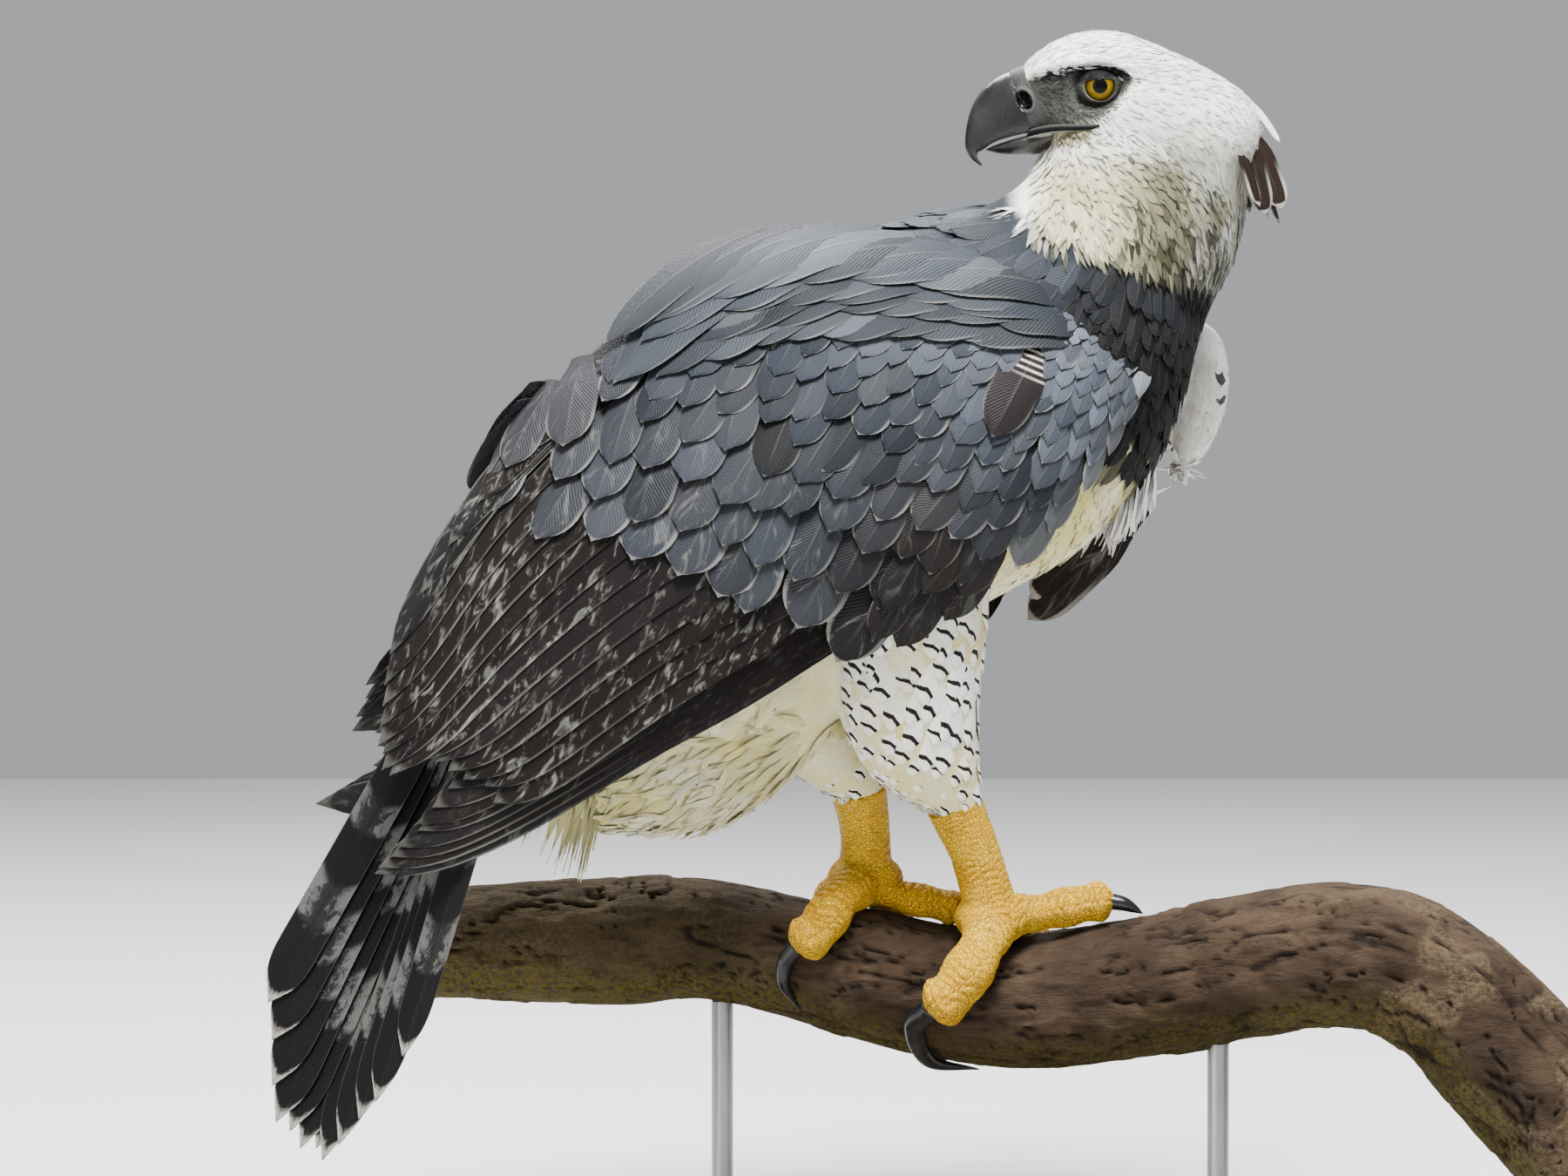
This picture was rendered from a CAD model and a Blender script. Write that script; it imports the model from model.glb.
"""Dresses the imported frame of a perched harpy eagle: skin, feathers, bill, eyes, feet, bark and
stand, with a plain pale studio round them. Everything is in metres, in the frame's own axes."""

import contextlib
import math

import bmesh
import bpy
import numpy as np
from bpy.props import FloatProperty, FloatVectorProperty, IntProperty, PointerProperty
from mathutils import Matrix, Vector
from mathutils.bvhtree import BVHTree
from mathutils.kdtree import KDTree


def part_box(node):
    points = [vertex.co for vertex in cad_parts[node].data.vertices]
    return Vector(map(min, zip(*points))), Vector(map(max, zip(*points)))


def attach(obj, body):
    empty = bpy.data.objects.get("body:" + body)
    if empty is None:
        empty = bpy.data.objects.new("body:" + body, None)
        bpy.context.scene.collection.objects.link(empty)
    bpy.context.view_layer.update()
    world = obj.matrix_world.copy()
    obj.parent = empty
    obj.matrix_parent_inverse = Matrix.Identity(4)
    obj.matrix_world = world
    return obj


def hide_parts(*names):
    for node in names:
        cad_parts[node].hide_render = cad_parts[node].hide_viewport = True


bl_info = {
    "name": "Perched Harpy Eagle",
    "version": (1, 0, 0),
    "blender": (4, 5, 0),
    "location": "View3D > Sidebar > Eagle",
    "description": "Dresses a perched harpy eagle over its frame",
    "category": "Object",
}

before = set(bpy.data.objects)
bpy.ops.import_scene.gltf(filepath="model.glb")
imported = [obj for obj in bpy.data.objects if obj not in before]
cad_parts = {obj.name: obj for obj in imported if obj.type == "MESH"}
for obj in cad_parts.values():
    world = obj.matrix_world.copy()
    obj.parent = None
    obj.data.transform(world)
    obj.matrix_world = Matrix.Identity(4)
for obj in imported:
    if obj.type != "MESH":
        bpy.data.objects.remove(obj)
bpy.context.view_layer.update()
BODY = "root"

# The profiles below are the frame's own, in millimetres; bird() and row() turn them to metres
MM = 0.001
HEADING = math.radians(12)
BODY_Y = -11
FORWARD = np.array((math.cos(HEADING), math.sin(HEADING), 0.0))
RIGHT = np.array((math.sin(HEADING), -math.cos(HEADING), 0.0))
UP = np.array((0.0, 0.0, 1.0))

TORSO = {
    "back_f": [-278, -246, -196, -122, -60, -12, 12, 22],
    "back_z": [452, 528, 594, 634, 650, 662, 667, 669],
    "belly_f": [-206, -160, -112, -52, 18, 76, 132, 168],
    "belly_z": [262, 262, 290, 352, 404, 434, 494, 596],
    "width": [32, 46, 58, 70, 79, 84, 84, 72],
}
NECK = {
    "back_f": [24, 37, 48, 56, 62],
    "back_z": [670, 678, 690, 704, 716],
    "belly_f": [170, 184, 192, 196, 196],
    "belly_z": [598, 622, 648, 676, 704],
    "width": [74, 71, 67, 61, 53],
}
TAIL_CORE = {
    "back_f": [-278.2, -292, -306, -320],
    "back_z": [451.6, 410, 360, 318],
    "belly_f": [-206.3, -236, -268, -300],
    "belly_z": [261.6, 266, 282, 300],
    "width": [40, 38, 33, 24],
}
HEAD_Y = 8
HEAD = {
    "crown_x": [197, 190, 175, 154, 130, 105, 80, 61, 48, 38.5],
    "crown_z": [716, 733, 745, 757, 768, 777, 777, 770, 761, 751],
    "under_x": [197, 190, 175, 154, 130, 108, 90, 76, 67, 60],
    "under_z": [702, 684, 668, 660, 660, 666, 676, 687, 695, 701.5],
    "width": [7, 26, 41, 49, 50, 46, 39, 30, 23, 17.5],
}
BILL = {
    "top_x": [38, 32, 25, 17, 10.5, 7, 6.6, 10.5, 16.5],
    "top_z": [750.6, 748.4, 744.6, 737.4, 726.6, 713, 701, 693.5, 689],
    "low_x": [56, 45, 35, 26, 20.5, 17.5, 14.5, 14.5, 17.5],
    "low_z": [711.6, 709.6, 707.2, 704.4, 701.2, 699, 697.5, 694, 690],
    "width": [17, 15.4, 13, 10.2, 7.6, 5.2, 3.4, 2, 0.7],
}
LOWER_BILL = {
    "top_x": [62, 48, 36, 26, 19.5],
    "top_z": [711, 708.6, 705.6, 702.4, 699.5],
    "low_x": [62, 49, 37, 27, 20.5],
    "low_z": [699, 696, 695.4, 696.4, 698.5],
    "width": [16, 14, 11, 7, 2.5],
}
EYE = {"x": 91, "z": 738.5, "side": 28.3, "radius": 12.2, "iris": 9.3, "cornea": 8.5, "bulge": 0.8}
NOSTRIL = {"x": 43.8, "z": 730.5, "long": 7.0, "wide": 4.8, "lean": math.radians(62)}
WING = {
    "top_f": [98, 41, -58, -151, -233, -321, -396],
    "top_z": [572, 630, 651, 635, 585, 484, 342],
    "top_r": [64, 52, 40, 30, 18, 13, 34],
    "low_f": [98, 44, -36, -121, -207, -301, -383],
    "low_z": [522, 462, 408, 364, 324, 273, 243],
    "low_r": [66, 92, 102, 97, 88, 74, 56],
    "swell": [10, 30, 42, 42, 36, 26, 8],
}
LEFT_WING = {
    "forward": [92, 78, 48, 20, 6, -2, -20],
    "out": [14, 12, 8, 4, 0, 0, 0],
    "rise": [-4, -10, -22, -24, -10, 12, 38],
}
THIGH = {
    "rise": [176, 112, 72, 40, 18, 0],
    "rear_f": [-90, -84, -80, -72, -54, -24],
    "front_f": [24, 22, 18, 20, 22, 24],
    "width": [50, 46, 41, 35, 30, 23],
    "out": [1, 0.78, 0.52, 0.32, 0.12, 0],
}
LEGS = {
    "right": {"hip_r": 50, "ankle": (-9, 32, 276), "hub_x": 22, "hub_turn": 24, "lift": 17},
    "left": {"hip_r": -46, "ankle": (-61, -14, 284), "hub_x": -72, "hub_turn": -4, "lift": 18},
}
TARSUS_RADIUS = 18
HUB = (25, 22, 18)
TOE_RADIUS = 11.5
# Each toe: its points round the perch as (x, degrees from the top), how thick it is against
# the others, and its claw as (x, degrees, height over the bark) with the claw's thickness
TOES = {
    "right": {
        "hallux": ([(18, 52), (3, 82), (-7, 92)], 1.32, [(-17, 112, 7), (-6, 148, 5), (20, 174, 0.5)], 8.5),
        "inner": ([(14, -26), (8, -56), (6, -76)], 1.0, [(4, -96, 7), (4, -112, 5), (5, -132, 0.5)], 6.5),
        "middle": (
            [(38, -24), (48, -60), (51, -84)], 1.05, [(54, -104, 7), (56, -122, 5), (58, -142, 0.5)], 6.5,
        ),
        "outer": ([(62, 14), (94, 8), (106, 6)], 1.05, [(117, 6, 9), (124, 6, 5), (130, 7, 0.5)], 6.0),
    },
    "left": {
        "hallux": (
            [(-78, 34), (-85, 62), (-92, 72)], 1.2, [(-99, 88, 7), (-97, 106, 5), (-86, 132, 0.5)], 7.0,
        ),
        "inner": ([(-48, 2), (-22, 0), (-10, 0)], 0.9, [(-2, -3, 7), (2, -6, 4), (5, -9, 0.5)], 5.5),
        "middle": (
            [(-58, -36), (-50, -66), (-48, -84)], 1.05,
            [(-46, -104, 7), (-44, -122, 5), (-42, -142, 0.5)], 6.5,
        ),
        "outer": (
            [(-90, -30), (-98, -58), (-101, -74)], 1.0,
            [(-103, -94, 7), (-104, -112, 5), (-104, -130, 0.5)], 6.5,
        ),
    },
}
BRANCH_AXIS = [
    (-342, 78, 182), (-224, 50, 186), (-155, 30, 189), (-54, 8, 167), (30, -3, 152), (114, -16, 161),
    (224, -36, 183), (288, -47, 175), (340, -55, 134), (388, -60, 80), (410, -64, 47),
]
BRANCH_RADIUS = [37, 41, 40, 43, 44.5, 47, 46, 47, 48, 48, 48]
TAIL = {"root_f": -264, "root_z": 440, "length": 400, "slope": math.radians(67.5), "roll": math.radians(36)}
TAIL_DROOP = 0.0016
# The far wing's bend: places down its front edge, and how thick it is there
WRIST = [
    (158, 96, 590, 9), (167, 99, 572, 13), (168, 100, 545, 14.5), (160, 99, 514, 12.5), (148, 97, 490, 7),
]


def flow(values, at):
    """A smooth run through evenly spaced numbers, going straight on past both ends."""
    values = np.asarray(values, float)
    at = np.asarray(at, float)
    last = len(values) - 1
    place = np.clip(at, 0, 1) * last
    i = np.minimum(place.astype(int), last - 1)
    w = place - i
    a, b = values[i], values[i + 1]
    slope_a = np.where(i > 0, (b - values[np.maximum(i - 1, 0)]) / 2, b - a)
    slope_b = np.where(i < last - 1, (values[np.minimum(i + 2, last)] - a) / 2, b - a)
    inside = (
        a * (1 + 2 * w) * (1 - w) ** 2
        + slope_a * w * (1 - w) ** 2
        + b * w * w * (3 - 2 * w)
        + slope_b * w * w * (w - 1)
    )
    beyond = at * last - place
    return inside + beyond * np.where(beyond < 0, slope_a, slope_b)


def smooth(x, low=0.0, high=1.0):
    """0 below low, 1 above high, and an even bend between."""
    w = np.clip((x - low) / (high - low), 0, 1)
    return w * w * (3 - 2 * w)


def unit(v):
    """Vectors of length one along the last axis."""
    return v / np.maximum(np.linalg.norm(v, axis=-1, keepdims=True), 1e-9)


def bird(f, r, z):
    """Points in metres from millimetres forward, to the bird's right, and up."""
    f, r, z = np.broadcast_arrays(*(np.asarray(k, float) for k in (f, r, z)))
    place = f[..., None] * FORWARD + r[..., None] * RIGHT + z[..., None] * UP
    place[..., 1] += BODY_Y
    return MM * place


def row(x, y, z):
    """Points in metres from millimetres in the frame's axes."""
    return MM * np.stack(np.broadcast_arrays(*(np.asarray(k, float) for k in (x, y, z))), -1)


def in_bird(points):
    """Millimetres forward, to the bird's right, and up, of points in metres."""
    place = points / MM
    x, y = place[..., 0], place[..., 1] - BODY_Y
    return (
        x * FORWARD[0] + y * FORWARD[1],
        x * RIGHT[0] + y * RIGHT[1],
        place[..., 2],
    )


def oval_rings(one, other, side, width, sides, inset=0.0, square=2.1):
    """Oval rings between pairs of opposite points, each drawn in by inset."""
    middle = (one + other) / 2
    axis = (one - other) / 2
    tall = np.linalg.norm(axis, axis=-1, keepdims=True)
    axis = axis / tall * (tall - inset * MM)
    turn = np.linspace(0, 2 * math.pi, sides, endpoint=False)
    c, s = np.cos(turn), np.sin(turn)
    fit = (np.abs(c) ** square + np.abs(s) ** square) ** (-1 / square)
    wide = (np.asarray(width, float) - inset) * MM
    return (
        middle[:, None]
        + axis[:, None] * (c * fit)[None, :, None]
        + side * (s * fit)[None, :, None] * wide[:, None, None]
    )


def tube_rings(line, radii, sides, flat=1.0):
    """Round rings along a line of points, turned as little as the line allows."""
    ahead = unit(np.gradient(line, axis=0))
    rings = []
    side = unit(np.cross(ahead[0], UP + 1e-3))
    turn = np.linspace(0, 2 * math.pi, sides, endpoint=False)
    for point, along, radius in zip(line, ahead, radii):
        side = unit(side - along * side.dot(along))
        up = np.cross(side, along)
        rings.append(point + radius * (np.cos(turn)[:, None] * side + flat * np.sin(turn)[:, None] * up))
    return np.array(rings)


def fresh_selection():
    bpy.ops.object.select_all(action="DESELECT")


def choose(obj):
    """Makes this the only selected object, and the active one."""
    fresh_selection()
    obj.select_set(True)
    bpy.context.view_layer.objects.active = obj


def raw_mesh(name, points, faces):
    """A mesh object from arrays of points and of faces with three or four corners."""
    mesh = bpy.data.meshes.new(name)
    faces = [np.asarray(block) for block in faces if len(block)]
    sizes = np.concatenate([np.full(len(block), block.shape[1]) for block in faces])
    corners = np.concatenate([block.ravel() for block in faces])
    mesh.vertices.add(len(points))
    mesh.vertices.foreach_set("co", np.asarray(points, np.float32).ravel())
    mesh.loops.add(len(corners))
    mesh.loops.foreach_set("vertex_index", corners.astype(np.int32))
    mesh.polygons.add(len(sizes))
    starts = np.concatenate(([0], np.cumsum(sizes)[:-1]))
    mesh.polygons.foreach_set("loop_start", starts.astype(np.int32))
    mesh.update(calc_edges=True)
    mesh.validate()
    obj = bpy.data.objects.new(name, mesh)
    bpy.context.scene.collection.objects.link(obj)
    return obj


def ring_faces(count, sides):
    """Faces over rings of points, with a fan at each end round one more point there."""
    i, j = np.meshgrid(np.arange(count - 1), np.arange(sides), indexing="ij")
    a, b = i * sides + j, i * sides + (j + 1) % sides
    quads = np.stack([a, b, b + sides, a + sides], -1).reshape(-1, 4)
    j = np.arange(sides)
    k = (j + 1) % sides
    first = np.stack([np.full(sides, count * sides), k, j], -1)
    base = (count - 1) * sides
    last = np.stack([np.full(sides, count * sides + 1), base + j, base + k], -1)
    return quads, np.concatenate((first, last))


def face_outwards(obj):
    choose(obj)
    bpy.ops.object.mode_set(mode="EDIT")
    bpy.ops.mesh.select_all(action="SELECT")
    bpy.ops.mesh.normals_make_consistent(inside=False)
    bpy.ops.object.mode_set(mode="OBJECT")


def ring_solid(name, rings):
    """A closed mesh over rings, its faces pointing outwards."""
    count, sides = rings.shape[:2]
    points = np.concatenate((rings.reshape(-1, 3), [rings[0].mean(0)], [rings[-1].mean(0)]))
    obj = raw_mesh(name, points, ring_faces(count, sides))
    face_outwards(obj)
    return obj


def soft_shade(obj, degrees=180):
    """Shades smoothly over every edge that bends by less than the given angle."""
    choose(obj)
    if degrees >= 180:
        bpy.ops.object.shade_smooth()
    else:
        bpy.ops.object.shade_smooth_by_angle(angle=math.radians(degrees))


def join(objects, name):
    """Makes one object of several."""
    choose(objects[0])
    for obj in objects:
        obj.select_set(True)
    bpy.ops.object.join()
    objects[0].name = name
    objects[0].data.name = name
    return objects[0]


def modify(obj, kind, **settings):
    """Adds a modifier, sets it and applies it."""
    choose(obj)
    modifier = obj.modifiers.new(kind.lower(), kind)
    for key, value in settings.items():
        setattr(modifier, key, value)
    bpy.ops.object.modifier_apply(modifier=modifier.name)


def points_of(obj):
    flat = np.empty(3 * len(obj.data.vertices))
    obj.data.vertices.foreach_get("co", flat)
    return flat.reshape(-1, 3)


def set_points(obj, points):
    obj.data.vertices.foreach_set("co", np.ascontiguousarray(points, np.float32).ravel())
    obj.data.update()


def normals_of(obj):
    flat = np.empty(3 * len(obj.data.vertices))
    obj.data.vertex_normals.foreach_get("vector", flat)
    return flat.reshape(-1, 3)


def store(obj, name, values):
    """Stores up to four numbers a point as a colour attribute."""
    rows = np.zeros((len(values), 4), np.float32)
    rows[:, : values.shape[1]] = values
    obj.data.attributes.new(name, "FLOAT_COLOR", "POINT").data.foreach_set("color", rows.ravel())


def mark(obj, *columns):
    """Stores the marks that the piece's finish reads, a column each."""
    wide = np.zeros(len(obj.data.vertices))
    store(obj, "marks", np.stack([wide + column for column in columns], -1))


@contextlib.contextmanager
def reshaped(obj):
    """An object's mesh as one to edit, written back at the end."""
    shape = bmesh.new()
    shape.from_mesh(obj.data)
    yield shape
    shape.to_mesh(obj.data)
    shape.free()


def own(name):
    """The primitive just added, named, with its place and size put into its points."""
    obj = bpy.context.active_object
    obj.name = name
    bpy.ops.object.transform_apply(location=True, rotation=True, scale=True)
    return obj


def tree_of(points):
    """A tree that finds the nearest of some points."""
    tree = KDTree(len(points))
    for i, point in enumerate(points):
        tree.insert(point, i)
    tree.balance()
    return tree


def run_along(line):
    """How far along a line of points each of them lies."""
    return np.concatenate(([0], np.cumsum(np.linalg.norm(np.diff(line, axis=0), axis=1))))


def round_ends(t, power=6, least=0.03):
    """The share of its full width that a rod has along its length, round at both ends."""
    return np.sqrt(np.clip(1 - (2 * t - 1) ** power, least, 1))


def settle(obj, material, slot, *replaced):
    """Hands a finished piece to the frame: its finish, its body and the nodes it stands for."""
    obj.data.materials.clear()
    obj.data.materials.append(material)
    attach(obj, BODY)
    if replaced:
        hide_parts(*replaced)


def noise3(points, scale, seed):
    """Smooth seeded noise between -1 and 1 at points in metres, with cells of 1/scale."""
    at = points * scale + seed * 17.31
    cell = np.floor(at).astype(np.int64)
    w = at - cell
    w = w * w * (3 - 2 * w)
    total = 0
    for corner in range(8):
        step = np.array([(corner >> k) & 1 for k in range(3)])
        n = cell + step
        mixed = n[..., 0] * 73856093 ^ n[..., 1] * 19349663 ^ n[..., 2] * 83492791
        mixed = (mixed ^ (mixed >> 13)) * 1274126177 & 0x7FFFFFFF
        value = (mixed % 10007) / 5003.0 - 1
        weight = np.prod(np.where(step, w, 1 - w), axis=-1)
        total = total + value * weight
    return total


# One turn of a wave in the finishes, in radians
TURN = 6.283


class Value:
    """A number that changes over a surface; each operator adds its Math node."""

    def __init__(self, paint, socket):
        self.paint, self.socket = paint, socket

    def math(self, operation, *others, clamp=False):
        settings = {"operation": operation, "use_clamp": clamp}
        return self.paint.number("ShaderNodeMath", settings, dict(enumerate((self, *others))))

    def __add__(self, other):
        return self.math("ADD", other)

    def __sub__(self, other):
        return self.math("SUBTRACT", other)

    def __mul__(self, other):
        return self.math("MULTIPLY", other)

    def __truediv__(self, other):
        return self.math("DIVIDE", other)

    def __rsub__(self, other):
        return self.paint.number("ShaderNodeMath", {"operation": "SUBTRACT"}, {0: other, 1: self})

    __radd__ = __add__
    __rmul__ = __mul__

    def abs(self):
        return self.math("ABSOLUTE")

    def sin(self):
        return self.math("SINE")

    def clamp(self):
        return self.math("ADD", 0.0, clamp=True)

    def step(self, low, high):
        """0 below low and 1 above high, with an even bend between."""
        return self.paint.number(
            "ShaderNodeMapRange",
            {"interpolation_type": "SMOOTHSTEP"},
            {"Value": self, "From Min": low, "From Max": high, "To Min": 0.0, "To Max": 1.0},
        )


class Paint:
    def __init__(self, name):
        self.material = bpy.data.materials.new(name)
        self.material.use_nodes = True
        self.nodes, self.links = self.material.node_tree.nodes, self.material.node_tree.links
        self.nodes.clear()
        self.shader = self.nodes.new("ShaderNodeBsdfPrincipled")
        output = self.nodes.new("ShaderNodeOutputMaterial")
        self.links.new(self.shader.outputs["BSDF"], output.inputs["Surface"])

    def node(self, kind, settings=None, sockets=None):
        made = self.nodes.new(kind)
        for key, value in (settings or {}).items():
            setattr(made, key, value)
        for key, value in (sockets or {}).items():
            self.feed(made.inputs[key], value)
        return made

    def feed(self, socket, value):
        value = getattr(value, "socket", value)
        if isinstance(value, bpy.types.NodeSocket):
            self.links.new(value, socket)
        elif socket.type == "RGBA" and len(value) == 3:
            socket.default_value = (*value, 1.0)
        else:
            socket.default_value = value

    def number(self, kind, settings=None, sockets=None, output=0):
        return Value(self, self.node(kind, settings, sockets).outputs[output])

    def place(self, centre=(0, 0, 0), stretch=(1, 1, 1)):
        """Object coordinates, centred and stretched."""
        source = self.node("ShaderNodeTexCoord").outputs["Object"]
        sockets = {"Vector": source, "Location": centre, "Scale": stretch}
        return self.node("ShaderNodeMapping", {"vector_type": "POINT"}, sockets).outputs["Vector"]

    def vector(self, *parts):
        return self.node("ShaderNodeCombineXYZ", None, dict(enumerate(parts))).outputs[0]

    def vane(self):
        """Places across a feather, along it, and how far out from its shaft."""
        x, t, _ = self.apart(self.node("ShaderNodeUVMap", {"uv_map": "vane"}).outputs["UV"])
        return x, t, ((x - 0.5) * 2).abs()

    def apart(self, vector):
        parts = self.node("ShaderNodeSeparateXYZ", None, {"Vector": vector})
        return [Value(self, parts.outputs[k]) for k in range(3)]

    def attribute(self, name):
        """What a colour attribute of the mesh holds."""
        settings = {"attribute_name": name, "attribute_type": "GEOMETRY"}
        return self.node("ShaderNodeAttribute", settings).outputs

    def marks(self):
        """The four numbers that the mesh's marks hold."""
        source = self.attribute("marks")
        parts = self.node("ShaderNodeSeparateColor", None, {"Color": source["Color"]})
        return [*(Value(self, parts.outputs[k]) for k in range(3)), Value(self, source["Alpha"])]

    def noise(self, vector, scale, detail=3.0, rough=0.5, warp=0.0):
        sockets = {"Vector": vector, "Scale": scale, "Detail": detail, "Roughness": rough}
        sockets["Distortion"] = warp
        return self.number("ShaderNodeTexNoise", {"noise_dimensions": "3D"}, sockets, "Fac")

    def cells(self, vector, scale, feature="F1"):
        sockets = {"Vector": vector, "Scale": scale}
        return self.number("ShaderNodeTexVoronoi", {"feature": feature}, sockets, "Distance")

    def mix(self, factor, one, other):
        sockets = {0: factor, 6: one, 7: other}
        return self.node("ShaderNodeMix", {"data_type": "RGBA"}, sockets).outputs[2]

    def layers(self, base, *coats):
        """A base colour under coats of (how much of it, colour), the last on top."""
        for amount, colour in coats:
            base = self.mix(amount, base, colour)
        return base

    def shaded(self, colour, amount):
        """A colour made darker or lighter by a number near 1."""
        sockets = {0: colour, 3: amount}
        made = self.node("ShaderNodeVectorMath", {"operation": "SCALE"}, sockets)
        return made.outputs["Vector"]

    def finish(self, colour, roughness, relief=None, depth=0.001, **constants):
        self.feed(self.shader.inputs["Base Color"], colour)
        self.feed(self.shader.inputs["Roughness"], roughness)
        if relief is not None:
            sockets = {"Height": relief, "Distance": depth, "Strength": 1.0}
            bump = self.node("ShaderNodeBump", None, sockets)
            self.links.new(bump.outputs["Normal"], self.shader.inputs["Normal"])
        for key, value in constants.items():
            label = key.replace("_", " ").title().replace("Ior", "IOR")
            self.shader.inputs[label].default_value = value
        return self.material


# Points tried for every square of the spacing, before the ones too near another are dropped
TRIES = 7


class Loft:
    """A surface of rings with a place (along, around) for every point, to scatter feathers on."""

    def __init__(self, rings):
        count, sides = rings.shape[:2]
        closed = np.concatenate((rings, rings[:, :1]), axis=1)
        along, around = np.meshgrid(np.linspace(0, 1, count), np.linspace(0, 1, sides + 1), indexing="ij")
        place = np.stack((along, around), -1)
        first, last = slice(None, -1), slice(1, None)
        a, b, c, d = (first, first), (first, last), (last, last), (last, first)
        triangles = [(a, b, c), (a, c, d)]
        split = lambda grid, wide: np.concatenate(
            [np.stack([grid[k] for k in triangle], 2).reshape(-1, 3, wide) for triangle in triangles]
        )
        self.corners, self.places = split(closed, 3), split(place, 2)

    def scatter(self, spacing, seed, wanted):
        """Seeded points about as far apart as spacing, where wanted(points) is true."""
        rng = np.random.default_rng(seed)
        use = wanted(self.corners.mean(1))
        corners, places = self.corners[use], self.places[use]
        sides = np.cross(corners[:, 1] - corners[:, 0], corners[:, 2] - corners[:, 0])
        area = np.linalg.norm(sides, axis=1)
        count = int(TRIES * area.sum() / 2 / spacing**2)
        pick = rng.choice(len(area), count, p=area / area.sum())
        share = rng.dirichlet((1, 1, 1), count)[..., None]
        points = (corners[pick] * share).sum(1)
        places = (places[pick] * share).sum(1)
        cells = np.floor(points / spacing).astype(int).tolist()
        taken, kept = {}, []
        near = [(i, j, k) for i in (-1, 0, 1) for j in (-1, 0, 1) for k in (-1, 0, 1)]
        for n, (x, y, z) in enumerate(cells):
            point = points[n]
            others = [taken[key] for i, j, k in near if (key := (x + i, y + j, z + k)) in taken]
            if all(((point - points[m]) ** 2).sum() > spacing**2 for m in others):
                taken[(x, y, z)] = n
                kept.append(n)
        return points[kept], places[kept]


class Skin:
    """The bird's finished skin, for the nearest point and normal under a feather."""

    def __init__(self, obj):
        mesh = bmesh.new()
        mesh.from_mesh(obj.data)
        self.tree = BVHTree.FromBMesh(mesh)
        mesh.free()
        self.near = tree_of(points_of(obj))
        self.normals = normals_of(obj)

    def under(self, points):
        """Nearest places on the skin and the smooth normals there."""
        places = np.array([self.tree.find_nearest(p)[0] for p in points])
        normals = np.array([self.normals[self.near.find(p)[1]] for p in places])
        return places, normals


def by_guides(points, guides):
    """Directions at points from a few chosen places, the nearest counting most."""
    at = np.array([g[0] for g in guides]) * MM
    way = unit(np.array([g[1] for g in guides], float))
    apart = np.linalg.norm(points[:, None] - at[None], axis=-1)
    weight = 1 / (apart + 0.004) ** 3
    return unit((weight[..., None] * way).sum(1))


def outline(steps, root, full, round_from):
    """Places along a feather and the share of its full width there, round at the tip."""
    t = 1 - (1 - np.linspace(0, 1, steps)) ** 1.5
    t[-1] = 1
    body = root + (1 - root) * smooth(t / full)
    tip = np.sqrt(np.clip(1 - (np.clip(t - round_from, 0, 1) / (1 - round_from)) ** 2, 0.006, 1))
    return t, body * tip


CONTOUR = outline(7, 0.45, 0.5, 0.42)
COVERT = outline(13, 0.45, 0.45, 0.68)
SMALL_COVERT = outline(12, 0.5, 0.4, 0.55)
QUILL = outline(24, 0.3, 0.4, 0.84)
RECTRIX = outline(44, 0.35, 0.5, 0.9)
WISP = (np.array([0, 0.3, 0.6, 0.84, 1]), np.array([0.5, 1, 0.85, 0.5, 0.05]))
TUFT = (np.array([0, 0.3, 0.6, 0.86, 1]), np.array([0.5, 1, 0.95, 0.7, 0.12]))
THIGH_FEATHER = outline(10, 0.5, 0.45, 0.6)
BROAD_FEATHER = {
    "outline": outline(16, 0.3, 0.45, 0.76), "ways": 8, "rise": [0, 0], "tilt": [0, 0], "thick": 0.0008,
    "lag": 0.03, "step": 1e-2, "arch": 0.16,
}


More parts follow.
